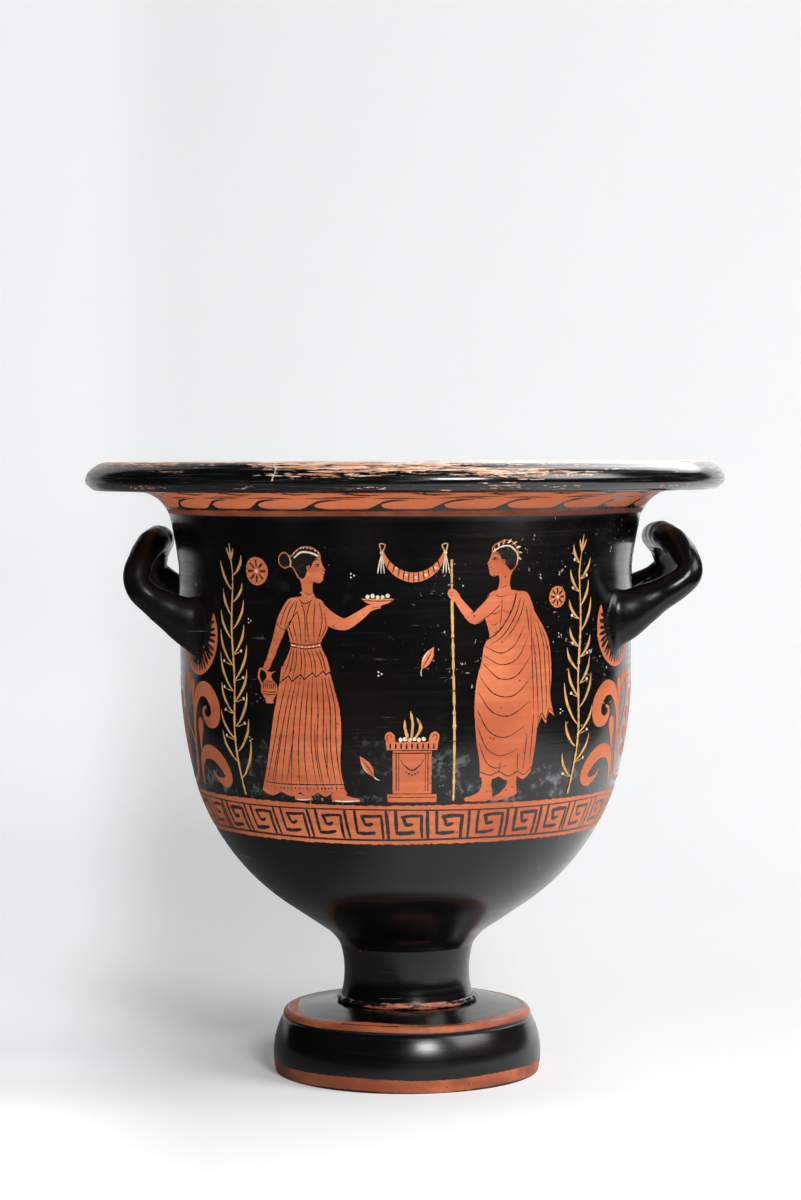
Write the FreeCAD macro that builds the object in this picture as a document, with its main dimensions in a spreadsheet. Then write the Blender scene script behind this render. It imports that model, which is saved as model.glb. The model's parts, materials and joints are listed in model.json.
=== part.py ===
import FreeCAD, Part
import os
import Sketcher

# Bell krater: a wide mixing bowl on a short stem and a turned foot, with two
# upturned loop handles. The pot is thrown in sections and luted together, so
# each section is a body of its own. +Z is up, the origin is the middle of the
# ring that the foot stands on, the handles lie along X. Lengths in millimetres.

SIZES = {
    # Foot: a thick disc, hollow underneath, that stands on a flat ring.
    "foot_radius": 73.6,
    "foot_base_inset": 1.1,
    "foot_widest_height": 9.0,
    "foot_bulge_inset": 1.3,
    "foot_bulge_height": 11.0,
    "foot_shoulder_inset": 5.4,
    "foot_shoulder_rise": 11.0,
    "foot_step_width": 3.8,
    "foot_step_rise": 3.9,
    "foot_top_rise": 3.6,
    "foot_seat_overhang": 2.0,
    "foot_ring_width": 12.5,
    "foot_hollow_slope": 7.0,
    "foot_disc_thickness": 13.0,
    # Collar: the ring of clay squeezed out between foot and stem.
    "collar_thickness": 3.4,
    "collar_overhang": 2.6,
    # Stem: a short waisted tube.
    "stem_radius": 34.5,
    "stem_bottom_flare": 1.8,
    "stem_top_flare": 2.2,
    "stem_waist_height": 13.5,
    "stem_upper_length": 14.5,
    "stem_wall": 9.5,
    # Lower bowl: thrown with its floor, up to the seam above the meander band.
    "lower_bowl_height": 89.0,
    "seam_radius": 115.1,
    "floor_thickness": 15.0,
    "floor_flat_radius": 14.0,
    "wall_thickness": 7.2,
    # Upper wall: shoulder, upright wall, neck and the flare under the lip.
    "shoulder_height": 56.0,
    "shoulder_spread": 8.6,
    "upright_height": 63.0,
    "upright_spread": 0.6,
    "neck_height": 29.0,
    "neck_spread": 5.1,
    "flare_height": 12.7,
    "flare_spread": 16.0,
    "flare_wall": 12.6,
    # Rim: the heavy ring laid on the flare, with a rounded nose.
    "rim_overhang": 29.6,
    "rim_thickness": 16.0,
    "rim_nose_below": 7.5,
    "rim_nose_above": 9.0,
    "rim_nose_height": 7.6,
    "rim_inner_slope": 11.0,
    # Handles: a rolled coil bent to a loop, its crossbar curled up and back.
    "coil_thickness": 15.0,
    "root_flare": 17.0,
    "handle_span": 110.0,
    "root_depth": 12.0,
    "left_root_height": 89.4,
    "left_rise": 45.7,
    "left_reach": 20.6,
    "left_curl": 7.0,
    "right_root_height": 95.5,
    "right_rise": 41.0,
    "right_reach": 28.5,
    "right_curl": 11.0,
    # Shares of the way out and up that fix the lower bowl's outline.
    "fillet_middle_out_share": 0.032,
    "fillet_middle_up_share": 0.043,
    "fillet_end_out_share": 0.084,
    "fillet_end_up_share": 0.09,
    "belly_start_out_share": 0.385,
    "belly_start_up_share": 0.27,
    "belly_middle_out_share": 0.716,
    "belly_middle_up_share": 0.539,
    "floor_middle_out_share": 0.36,
    "floor_middle_up_share": 0.065,
    "floor_end_out_share": 0.567,
    "floor_end_up_share": 0.223,
    "inner_belly_out_share": 0.818,
    "inner_belly_up_share": 0.554,
    # Shares that fix the middles of the upper wall's and the rim's arcs.
    "shoulder_middle_out_share": 0.7,
    "neck_middle_out_share": 0.41,
    "flare_middle_out_share": 0.27,
    "flare_middle_up_share": 0.54,
    "rim_inner_out_share": 0.38,
    "rim_inner_up_share": 0.62,
    "middle_share": 0.5,
}

# Worked out from the sizes above. Heights are measured from the bottom face of
# the piece they belong to; the seats are heights in the whole pot. Each seat
# adds the height of the piece below it.
PLACES = {
    "foot_base_radius": "foot_radius - foot_base_inset",
    "foot_bulge_radius": "foot_radius - foot_bulge_inset",
    "foot_bulge_level": "foot_widest_height + foot_bulge_height",
    "foot_shoulder_radius": "foot_radius - foot_shoulder_inset",
    "foot_shoulder_level": "foot_bulge_level + foot_shoulder_rise",
    "foot_step_radius": "foot_shoulder_radius - foot_step_width",
    "foot_step_level": "foot_shoulder_level + foot_step_rise",
    "foot_height": "foot_step_level + foot_top_rise",
    "foot_seat_radius": "collar_radius + foot_seat_overhang",
    "foot_ring_radius": "foot_base_radius - foot_ring_width",
    "foot_hollow_radius": "foot_ring_radius - foot_hollow_slope",
    "foot_disc_level": "foot_height - foot_disc_thickness",
    "foot_hollow_level": "foot_disc_level * middle_share",
    "cavity_radius": "stem_radius - stem_wall",
    "stem_bottom_radius": "stem_radius + stem_bottom_flare",
    "stem_top_radius": "stem_radius + stem_top_flare",
    "stem_length": "stem_waist_height + stem_upper_length",
    "collar_radius": "stem_bottom_radius + collar_overhang",
    "collar_edge_radius": "stem_bottom_radius",
    "collar_middle": "collar_thickness * middle_share",
    "bowl_spread": "seam_radius - stem_top_radius",
    "fillet_middle_radius": "stem_top_radius + bowl_spread * fillet_middle_out_share",
    "fillet_middle_level": "lower_bowl_height * fillet_middle_up_share",
    "fillet_end_radius": "stem_top_radius + bowl_spread * fillet_end_out_share",
    "fillet_end_level": "lower_bowl_height * fillet_end_up_share",
    "belly_start_radius": "stem_top_radius + bowl_spread * belly_start_out_share",
    "belly_start_level": "lower_bowl_height * belly_start_up_share",
    "belly_middle_radius": "stem_top_radius + bowl_spread * belly_middle_out_share",
    "belly_middle_level": "lower_bowl_height * belly_middle_up_share",
    "inner_seam_radius": "seam_radius - wall_thickness",
    "bowl_depth": "lower_bowl_height - floor_thickness",
    "floor_middle_radius": "inner_seam_radius * floor_middle_out_share",
    "floor_middle_level": "floor_thickness + bowl_depth * floor_middle_up_share",
    "floor_end_radius": "inner_seam_radius * floor_end_out_share",
    "floor_end_level": "floor_thickness + bowl_depth * floor_end_up_share",
    "inner_belly_radius": "inner_seam_radius * inner_belly_out_share",
    "inner_belly_level": "floor_thickness + bowl_depth * inner_belly_up_share",
    "shoulder_middle_radius": "seam_radius + shoulder_spread * shoulder_middle_out_share",
    "shoulder_middle_level": "shoulder_height * middle_share",
    "wall_radius": "seam_radius + shoulder_spread",
    "upright_radius": "wall_radius + upright_spread",
    "upright_level": "shoulder_height + upright_height",
    "neck_middle_radius": "upright_radius + neck_spread * neck_middle_out_share",
    "neck_middle_level": "upright_level + neck_height * middle_share",
    "neck_radius": "upright_radius + neck_spread",
    "neck_level": "upright_level + neck_height",
    "flare_middle_radius": "neck_radius + flare_spread * flare_middle_out_share",
    "flare_middle_level": "neck_level + flare_height * flare_middle_up_share",
    "flare_radius": "neck_radius + flare_spread",
    "upper_wall_height": "neck_level + flare_height",
    "inner_shoulder_radius": "shoulder_middle_radius - wall_thickness",
    "inner_wall_radius": "wall_radius - wall_thickness",
    "inner_upright_radius": "upright_radius - wall_thickness",
    "inner_neck_middle_radius": "neck_middle_radius - wall_thickness",
    "inner_neck_radius": "neck_radius - wall_thickness",
    "mouth_radius": "flare_radius - flare_wall",
    "inner_flare_spread": "mouth_radius - inner_neck_radius",
    "inner_flare_middle_radius": "inner_neck_radius + inner_flare_spread * flare_middle_out_share",
    "rim_radius": "flare_radius + rim_overhang",
    "rim_inner_middle_radius": "mouth_radius + rim_inner_slope * rim_inner_out_share",
    "rim_inner_middle_level": "rim_thickness * rim_inner_up_share",
    "rim_flat_inner_radius": "mouth_radius + rim_inner_slope",
    "rim_flat_outer_radius": "rim_radius - rim_nose_above",
    "rim_under_radius": "rim_radius - rim_nose_below",
    "collar_seat": "foot_height",
    "stem_seat": "collar_seat + collar_thickness",
    "lower_bowl_seat": "stem_seat + stem_length",
    "upper_wall_seat": "lower_bowl_seat + lower_bowl_height",
    "rim_seat": "upper_wall_seat + upper_wall_height",
    "half_span": "handle_span * middle_share",
    "root_inset": "wall_radius - sqrt(wall_radius ^ 2 - half_span ^ 2)",
    "root_radius": "wall_radius - root_inset",
    "coil_radius": "coil_thickness * middle_share",
    "root_extra": "root_flare * middle_share",
}

# One arm of a handle from the wall's face to the middle of the crossbar:
# share of the half span, of the way out, of the curl back and of the rise,
# then the share of the root's flare and the width of the coil over its height.
ARM_SHARES = (
    (1.0, 0.0, 0.0, 0.0, 1.0, 0.8),
    (1.0, 0.33, 0.0, 0.12, 0.46, 0.88),
    (1.0, 0.61, 0.0, 0.26, 0.15, 0.95),
    (0.985, 0.84, 0.0, 0.4, 0.02, 1.0),
    (0.95, 0.975, 0.06, 0.55, 0.0, 1.0),
    (0.88, 1.0, 0.22, 0.71, 0.0, 1.0),
    (0.74, 1.0, 0.52, 0.86, 0.0, 1.0),
    (0.5, 1.0, 0.82, 0.965, 0.0, 1.0),
    (0.25, 1.0, 0.95, 0.995, 0.0, 1.0),
    (0.0, 1.0, 1.0, 1.0, 0.0, 1.0),
)
# The section inside the wall lies root_depth behind the first one.
BURIED_SECTION_SHARES = (1.1, 0.8)

NOTHING = "zero"
HORIZONTAL_AXIS = -1
VERTICAL_AXIS = -2
START, END = 1, 2
FULL_TURN = 360
UP = FreeCAD.Vector(0, 0, 1)
ALONG_SPAN = FreeCAD.Vector(0, 1, 0)

doc = FreeCAD.newDocument("bell_krater")
sheet = doc.addObject("Spreadsheet::Sheet", "Sizes")


def fill_sheet():
    """Writes the sizes as plain numbers and the places as formulas."""
    formulas = [(name, "=" + formula) for name, formula in PLACES.items()]
    rows = list(SIZES.items()) + formulas
    for row, (name, content) in enumerate(rows, start=1):
        sheet.set("A%d" % row, name)
        sheet.set("B%d" % row, str(content))
        sheet.setAlias("B%d" % row, name)
    doc.recompute()


def size(name):
    """The sheet's value of a name, or nothing for the axis and the base."""
    if name == NOTHING:
        return 0.0
    return float(sheet.get(name))


def spot(corner):
    """A corner, given as the names of its radius and its height."""
    return FreeCAD.Vector(size(corner[0]), size(corner[1]), 0)


def pin(sketch, shape, end, corner):
    """Ties one end of a line or arc to the sheet's radius and height."""
    directions = (("DistanceX", VERTICAL_AXIS), ("DistanceY", HORIZONTAL_AXIS))
    for name, (kind, axis) in zip(corner, directions):
        if name == NOTHING:
            sketch.addConstraint(Sketcher.Constraint("PointOnObject", shape, end, axis))
            continue
        tie = Sketcher.Constraint(kind, HORIZONTAL_AXIS, START, shape, end, size(name))
        index = sketch.addConstraint(tie)
        sketch.setExpression("Constraints[%d]" % index, "Sizes." + name)


def add_line(sketch, here, there):
    """A straight run; gives its number and which end comes first."""
    shape = sketch.addGeometry(Part.LineSegment(spot(here), spot(there)))
    return shape, START, END


def add_arc(sketch, here, through, there):
    """An arc through a middle point, which is a tied construction point."""
    shape = sketch.addGeometry(Part.Arc(spot(here), spot(through), spot(there)))
    to_start = sketch.getPoint(shape, START).distanceToPoint(spot(here))
    to_end = sketch.getPoint(shape, END).distanceToPoint(spot(here))
    marker = sketch.addGeometry(Part.Point(spot(through)), True)
    pin(sketch, marker, START, through)
    sketch.addConstraint(Sketcher.Constraint("PointOnObject", marker, START, shape))
    if to_start < to_end:
        return shape, START, END
    return shape, END, START


def draw_outline(sketch, start, steps):
    """A closed outline; each step is (corner,) or (middle of arc, corner)."""
    here = start
    runs = []
    for *through, there in steps:
        if through:
            run = add_arc(sketch, here, through[0], there)
        else:
            run = add_line(sketch, here, there)
        here = there
        pin(sketch, run[0], run[2], here)
        runs.append(run)
    for before, after in zip(runs, runs[1:] + runs[:1]):
        joint = Sketcher.Constraint("Coincident", before[0], before[2], after[0], after[1])
        sketch.addConstraint(joint)


def origin_plane(body, role):
    """One of the body's own origin planes."""
    for feature in body.Origin.OriginFeatures:
        if feature.Role == role:
            return feature
    raise ValueError("no origin plane " + role)


def turned_body(label, seat, start, steps):
    """A body turned about Z from its outline, set on its seat."""
    body = doc.addObject("PartDesign::Body", label)
    body.Label = label
    sketch = body.newObject("Sketcher::SketchObject", label + "_outline")
    sketch.AttachmentSupport = [(origin_plane(body, "XZ_Plane"), "")]
    sketch.MapMode = "FlatFace"
    doc.recompute()
    draw_outline(sketch, start, steps)
    turn = body.newObject("PartDesign::Revolution", label + "_turned")
    turn.Profile = sketch
    turn.ReferenceAxis = (sketch, ["V_Axis"])
    turn.Angle = FULL_TURN
    sketch.Visibility = False
    if seat != NOTHING:
        body.setExpression(".Placement.Base.z", "Sizes." + seat)
    doc.recompute()
    return body


def make_foot():
    """Side, step and sloping top outside; ring, slope and well underneath."""
    return turned_body("foot", NOTHING, ("foot_base_radius", NOTHING), (
        (("foot_radius", "foot_widest_height"), ("foot_bulge_radius", "foot_bulge_level")),
        (("foot_shoulder_radius", "foot_shoulder_level"),),
        (("foot_step_radius", "foot_step_level"),),
        (("foot_seat_radius", "foot_height"),),
        (("cavity_radius", "foot_height"),),
        (("cavity_radius", "foot_disc_level"),),
        (("foot_hollow_radius", "foot_hollow_level"),),
        (("foot_ring_radius", NOTHING),),
        (("foot_base_radius", NOTHING),),
    ))


def make_collar():
    """A flat ring with a rounded outer edge, bored like the stem."""
    return turned_body("stem_collar", "collar_seat", ("cavity_radius", NOTHING), (
        (("collar_edge_radius", NOTHING),),
        (("collar_radius", "collar_middle"), ("collar_edge_radius", "collar_thickness")),
        (("cavity_radius", "collar_thickness"),),
        (("cavity_radius", NOTHING),),
    ))


def make_stem():
    """A waisted tube; its bore is the well that comes up from the foot."""
    return turned_body("stem", "stem_seat", ("cavity_radius", NOTHING), (
        (("stem_bottom_radius", NOTHING),),
        (("stem_radius", "stem_waist_height"), ("stem_top_radius", "stem_length")),
        (("cavity_radius", "stem_length"),),
        (("cavity_radius", NOTHING),),
    ))


def make_lower_bowl():
    """Floor and belly of the bowl, open at the seam with the upper wall."""
    return turned_body("lower_bowl", "lower_bowl_seat", (NOTHING, NOTHING), (
        (("stem_top_radius", NOTHING),),
        (("fillet_middle_radius", "fillet_middle_level"), ("fillet_end_radius", "fillet_end_level")),
        (("belly_start_radius", "belly_start_level"),),
        (("belly_middle_radius", "belly_middle_level"), ("seam_radius", "lower_bowl_height")),
        (("inner_seam_radius", "lower_bowl_height"),),
        (("inner_belly_radius", "inner_belly_level"), ("floor_end_radius", "floor_end_level")),
        (("floor_middle_radius", "floor_middle_level"), ("floor_flat_radius", "floor_thickness")),
        ((NOTHING, "floor_thickness"),),
        ((NOTHING, NOTHING),),
    ))


def wall_outside():
    """The outer face of the upper wall, from the seam to the lip's seat."""
    return (
        (("shoulder_middle_radius", "shoulder_middle_level"), ("wall_radius", "shoulder_height")),
        (("upright_radius", "upright_level"),),
        (("neck_middle_radius", "neck_middle_level"), ("neck_radius", "neck_level")),
        (("flare_middle_radius", "flare_middle_level"), ("flare_radius", "upper_wall_height")),
    )


def make_upper_wall():
    """Shoulder, upright wall, neck and flare, with a flat top for the rim."""
    return turned_body("upper_wall", "upper_wall_seat", ("seam_radius", NOTHING), wall_outside() + (
        (("mouth_radius", "upper_wall_height"),),
        (("inner_flare_middle_radius", "flare_middle_level"), ("inner_neck_radius", "neck_level")),
        (("inner_neck_middle_radius", "neck_middle_level"), ("inner_upright_radius", "upright_level")),
        (("inner_wall_radius", "shoulder_height"),),
        (("inner_shoulder_radius", "shoulder_middle_level"), ("inner_seam_radius", NOTHING)),
        (("seam_radius", NOTHING),),
    ))


def make_wall_envelope():
    """The space inside the wall's outer face, which the handles stop at."""
    return turned_body("wall_envelope", "upper_wall_seat", ("seam_radius", NOTHING), wall_outside() + (
        ((NOTHING, "upper_wall_height"),),
        ((NOTHING, NOTHING),),
        (("seam_radius", NOTHING),),
    ))


def make_rim():
    """A ring with flat top and underside, round nose and sloping mouth."""
    return turned_body("rim", "rim_seat", ("mouth_radius", NOTHING), (
        (("rim_under_radius", NOTHING),),
        (("rim_radius", "rim_nose_height"), ("rim_flat_outer_radius", "rim_thickness")),
        (("rim_flat_inner_radius", "rim_thickness"),),
        (("rim_inner_middle_radius", "rim_inner_middle_level"), ("mouth_radius", NOTHING)),
    ))


def arm_point(side, shares):
    """A point of the coil's middle line on the arm at negative Y."""
    along, out, back, up, _flare, _width = shares
    reach = size("root_inset") + size(side + "_reach")
    return FreeCAD.Vector(
        size("root_radius") + reach * out - size(side + "_curl") * back,
        -size("half_span") * along,
        size(side + "_root_height") + size(side + "_rise") * up,
    )


def upright_to(direction, vector):
    """The part of a vector that is square to a direction, at unit length."""
    return (vector - direction * direction.dot(vector)).normalize()


def arm_frames(side):
    """Point, direction and untwisted normal at each station of one arm."""
    points = [arm_point(side, shares) for shares in ARM_SHARES]
    directions = [(after - before).normalize() for before, after in zip(points, points[2:])]
    directions.insert(0, (points[1] - points[0]).normalize())
    directions.append(ALONG_SPAN)
    buried = points[0] - directions[0] * size("root_depth")
    points.insert(0, buried)
    directions.insert(0, directions[0])
    frames = []
    normal = UP
    for point, direction in zip(points, directions):
        normal = upright_to(direction, normal)
        frames.append((point, direction, normal))
    return frames


def add_section(side, number, frame, flare_share, width_share):
    """An ellipse square to the coil, its height along the normal."""
    point, direction, normal = frame
    ellipse = doc.addObject("Part::Ellipse", "%s_section_%d" % (side, number))
    turn = FreeCAD.Rotation(normal, direction.cross(normal), direction, "ZXY")
    ellipse.Placement = FreeCAD.Placement(point, turn)
    radius = "(Sizes.coil_radius + Sizes.root_extra * %g)" % flare_share
    ellipse.MajorRadius = size("coil_radius") + size("root_extra") * flare_share
    ellipse.setExpression("MajorRadius", radius)
    ellipse.setExpression("MinorRadius", "%s * %g" % (radius, width_share))
    return ellipse


def other_arm(frame):
    """The same station on the other arm, with the coil running on."""
    point, direction, normal = frame
    return (
        FreeCAD.Vector(point.x, -point.y, point.z),
        FreeCAD.Vector(-direction.x, direction.y, -direction.z),
        FreeCAD.Vector(normal.x, -normal.y, normal.z),
    )


def turned_left(frame):
    """The same station for the handle on the side of negative X."""
    return tuple(FreeCAD.Vector(-part.x, part.y, part.z) for part in frame)


def make_handle(side, envelope):
    """The coil lofted from root to root, then cut off at the wall's face."""
    arm = arm_frames(side)
    arm_shares = [BURIED_SECTION_SHARES]
    for _along, _out, _back, _up, flare_share, width_share in ARM_SHARES:
        arm_shares.append((flare_share, width_share))
    frames = arm + [other_arm(frame) for frame in reversed(arm[:-1])]
    shares = arm_shares + list(reversed(arm_shares[:-1]))
    if side == "left":
        frames = [turned_left(frame) for frame in frames]
    sections = []
    for number, (frame, (flare_share, width_share)) in enumerate(zip(frames, shares)):
        sections.append(add_section(side, number, frame, flare_share, width_share))
    doc.recompute()
    coil = doc.addObject("Part::Loft", side + "_coil")
    coil.Sections = sections
    coil.Solid = True
    coil.Ruled = False
    coil.setExpression(".Placement.Base.z", "Sizes.upper_wall_seat")
    handle = doc.addObject("Part::Cut", "handle_" + side)
    handle.Base = coil
    handle.Tool = envelope
    handle.Label = "handle_" + side
    doc.recompute()
    return handle


def check_document():
    """Stops if any object failed, before anything is written."""
    for item in doc.Objects:
        if "Invalid" in item.State or "Error" in item.State:
            raise RuntimeError("failed object " + item.Name)


def check_piece(piece):
    """Stops if a piece is not one sound solid."""
    shape = piece.Shape
    if shape.isNull() or not shape.isValid():
        raise RuntimeError("unsound shape " + piece.Label)
    if len(shape.Solids) != 1:
        raise RuntimeError("%s has %d solids" % (piece.Label, len(shape.Solids)))


fill_sheet()
pieces = [make_foot(), make_collar(), make_stem(), make_lower_bowl(), make_upper_wall(), make_rim()]
wall_envelope = make_wall_envelope()
pieces.append(make_handle("left", wall_envelope))
pieces.append(make_handle("right", wall_envelope))
doc.recompute()
check_document()
for piece in pieces:
    check_piece(piece)

os.makedirs("parts", exist_ok=True)
for piece in pieces:
    piece.Shape.exportStep("parts/%s.step" % piece.Label)
    box = piece.Shape.optimalBoundingBox()
    print("%-12s volume %9.0f  z %6.1f to %6.1f  x %6.1f to %6.1f" % (
        piece.Label, piece.Shape.Volume, box.ZMin, box.ZMax, box.XMin, box.XMax))
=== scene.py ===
import json
import random
from math import atan2, ceil, cos, dist, hypot, pi, radians, sin, sqrt, tau

import bpy
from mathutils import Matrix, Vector
from mathutils.geometry import delaunay_2d_cdt

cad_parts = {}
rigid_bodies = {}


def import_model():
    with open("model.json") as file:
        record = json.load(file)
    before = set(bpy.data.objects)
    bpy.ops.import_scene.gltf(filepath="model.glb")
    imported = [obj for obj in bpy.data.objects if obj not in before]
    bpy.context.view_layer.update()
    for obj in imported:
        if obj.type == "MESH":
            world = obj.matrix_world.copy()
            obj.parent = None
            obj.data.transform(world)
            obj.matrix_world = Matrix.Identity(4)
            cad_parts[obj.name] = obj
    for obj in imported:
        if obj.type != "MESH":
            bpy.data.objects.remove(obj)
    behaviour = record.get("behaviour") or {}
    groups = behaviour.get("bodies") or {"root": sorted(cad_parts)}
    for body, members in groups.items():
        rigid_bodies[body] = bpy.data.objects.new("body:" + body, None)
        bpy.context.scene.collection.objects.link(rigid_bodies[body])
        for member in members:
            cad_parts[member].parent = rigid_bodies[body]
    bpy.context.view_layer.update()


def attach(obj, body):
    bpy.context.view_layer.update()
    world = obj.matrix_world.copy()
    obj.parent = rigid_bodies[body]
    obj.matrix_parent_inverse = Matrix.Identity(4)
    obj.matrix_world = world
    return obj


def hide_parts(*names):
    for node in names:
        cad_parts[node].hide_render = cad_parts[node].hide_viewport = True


# A red-figure bell krater. Lengths in the drawing are millimetres and become
# metres when the meshes are made. The pot stands at the origin, its front
# faces -Y and its handles lie along X.

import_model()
hand = random.Random(7)
MM = 0.001

# The thrown outlines
# A profile is a line of (radius, height) corners, joined by straight stretches
# and by arcs through a middle point.

COLLAR_LOW = 38.5
COLLAR_HIGH = 41.9
STEM_HIGH = 69.9
WALL_LOW = 158.9
WALL_HIGH = 319.6
WELL = 25.0


def arc(start, through, end, parts):
    """Points along the circle through three points, without the first."""
    ax, ay = start
    bx, by = through
    cx, cy = end
    aa = ax * ax + ay * ay
    bb = bx * bx + by * by
    cc = cx * cx + cy * cy
    d = 2 * (ax * (by - cy) + bx * (cy - ay) + cx * (ay - by))
    ux = (aa * (by - cy) + bb * (cy - ay) + cc * (ay - by)) / d
    uy = (aa * (cx - bx) + bb * (ax - cx) + cc * (bx - ax)) / d
    radius = hypot(ax - ux, ay - uy)
    a0 = atan2(ay - uy, ax - ux)
    am = atan2(by - uy, bx - ux)
    a1 = atan2(cy - uy, cx - ux)
    turn = (a1 - a0) % tau
    if (am - a0) % tau > turn:
        turn -= tau
    return [(ux + radius * cos(a0 + turn * k / parts), uy + radius * sin(a0 + turn * k / parts))
            for k in range(1, parts + 1)]


def straight(start, end, parts):
    return [(start[0] + (end[0] - start[0]) * k / parts, start[1] + (end[1] - start[1]) * k / parts)
            for k in range(1, parts + 1)]


def run(start, *steps):
    """A profile from its start through (end, parts) and (middle, end, parts)."""
    line = [start]
    for step in steps:
        if len(step) == 3:
            line += arc(line[-1], step[0], step[1], step[2])
        else:
            line += straight(line[-1], step[0], step[1])
    return line


FOOT_SIDE = run((72.5, 0.0), ((73.7, 12.5), (68.75, 29.8), 24), ((67.9, 30.3), 1),
                ((68.2, 31.0), 1), ((67.5, 33.5), (64.4, 34.9), 6), ((40.9, COLLAR_LOW), 8))
STEM_SIDE = run((36.3, COLLAR_HIGH), ((34.5, 55.4), (36.7, STEM_HIGH), 20))
LOWER_SIDE = run((36.7, STEM_HIGH), ((39.21, 73.73), (43.29, 77.91), 6), ((66.88, 93.93), 8),
                 ((92.83, 117.87), (115.1, WALL_LOW), 28))
WALL_SIDE = run((115.1, WALL_LOW), ((121.12, 186.9), (123.7, 214.9), 18), ((124.3, 277.9), 16),
                ((126.39, 292.4), (129.4, 306.9), 10), ((133.72, 313.76), (145.4, WALL_HIGH), 24))
WALL_INSIDE = run((132.8, WALL_HIGH), ((125.06, 313.76), (122.2, 306.9), 8),
                  ((119.19, 292.4), (117.1, 277.9), 6),
                  ((116.5, 214.9), 8), ((113.92, 186.9), (107.9, WALL_LOW), 8))
BOWL_INSIDE = run((107.9, WALL_LOW), ((88.26, 125.9), (61.18, 101.4), 12),
                  ((38.84, 89.71), (14.0, 84.9), 6), ((0.0, 84.9), 2))
RIM_LINE = run((132.8, WALL_HIGH), ((160.0, WALL_HIGH), 6), ((168.2, 319.9), 3),
               ((171.3, 320.9), (173.4, 322.9), 6),
               ((173.9, 323.0), 1), ((174.7, 324.4), (174.9, 326.4), 6),
               ((173.2, 330.2), (170.2, 332.8), 12),
               ((168.2, 334.2), (165.6, 335.2), 6), ((163.4, 335.6), 2), ((143.8, 335.6), 8),
               ((136.98, 329.52), (132.8, WALL_HIGH), 8))

outside = sorted([(z, r) for r, z in FOOT_SIDE + STEM_SIDE + LOWER_SIDE[1:] + WALL_SIDE[1:]])


def radius_at(height):
    """The outer radius of the pot at a height."""
    low = 0
    high = len(outside) - 1
    while high - low > 1:
        middle = (low + high) // 2
        if outside[middle][0] <= height:
            low = middle
        else:
            high = middle
    z0, r0 = outside[low]
    z1, r1 = outside[high]
    if z1 <= z0:
        return r1
    return r0 + (r1 - r0) * min(1.0, max(0.0, (height - z0) / (z1 - z0)))


REACH = 0.35


def slope_at(height):
    """How fast the radius grows with height."""
    return (radius_at(height + REACH) - radius_at(height - REACH)) / (2 * REACH)


# Flat drawing
# The decoration is drawn flat on the unrolled wall: across is millimetres round
# the pot at WALL_RADIUS, from the middle of the front; up is the height in mm.

WALL_RADIUS = 124
HALF_ROUND = pi * WALL_RADIUS

BRUSH_STEP = 1.3

shapes = []


def mix(a, b, share):
    return a + (b - a) * share


def flow(run, closed, step):
    """Points along a smooth curve through the run."""
    count = len(run)
    spans = count if closed else count - 1
    out = []
    for i in range(spans):
        p1 = run[i]
        p2 = run[(i + 1) % count]
        p0 = run[i - 1] if closed or i > 0 else p1
        p3 = run[(i + 2) % count] if closed or i + 2 < count else p2
        parts = max(1, int(dist(p1, p2) / step + 0.5))
        for k in range(parts):
            t = k / parts
            out.append(tuple(
                0.5 * (2 * b + (c - a) * t + (2 * a - 5 * b + 4 * c - d) * t * t
                       + (3 * b - a - 3 * c + d) * t * t * t)
                for a, b, c, d in zip(p0, p1, p2, p3)))
    if not closed:
        out.append(tuple(run[-1]))
    return out


def outline(points, step=1.2):
    """A closed smooth outline; a point with a third number is a sharp corner."""
    corners = [i for i, p in enumerate(points) if len(p) > 2]
    flat = [p[:2] for p in points]
    if not corners:
        return flow(flat, True, step)
    out = []
    for number, begin in enumerate(corners):
        end = corners[(number + 1) % len(corners)]
        if end <= begin:
            end += len(flat)
        run = [flat[i % len(flat)] for i in range(begin, end + 1)]
        out.extend(flow(run, False, step)[:-1])
    return out


def heading(before, after):
    """The unit direction from one point to another."""
    dx = after[0] - before[0]
    dy = after[1] - before[1]
    length = hypot(dx, dy) or 1
    return dx / length, dy / length


def shrunk(points, inset):
    """The outline moved inwards by a small distance."""
    area = sum(a[0] * b[1] - b[0] * a[1] for a, b in zip(points, points[1:] + points[:1]))
    side = 1 if area > 0 else -1
    out = []
    for before, here, after in zip(points[-1:] + points[:-1], points, points[1:] + points[:1]):
        dx, dy = heading(before, after)
        out.append((here[0] - side * dy * inset, here[1] + side * dx * inset))
    return out


def moved(x, y, points):
    """The points shifted, with their corner marks."""
    return [(x + p[0], y + p[1]) + tuple(p[2:]) for p in points]


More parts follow.
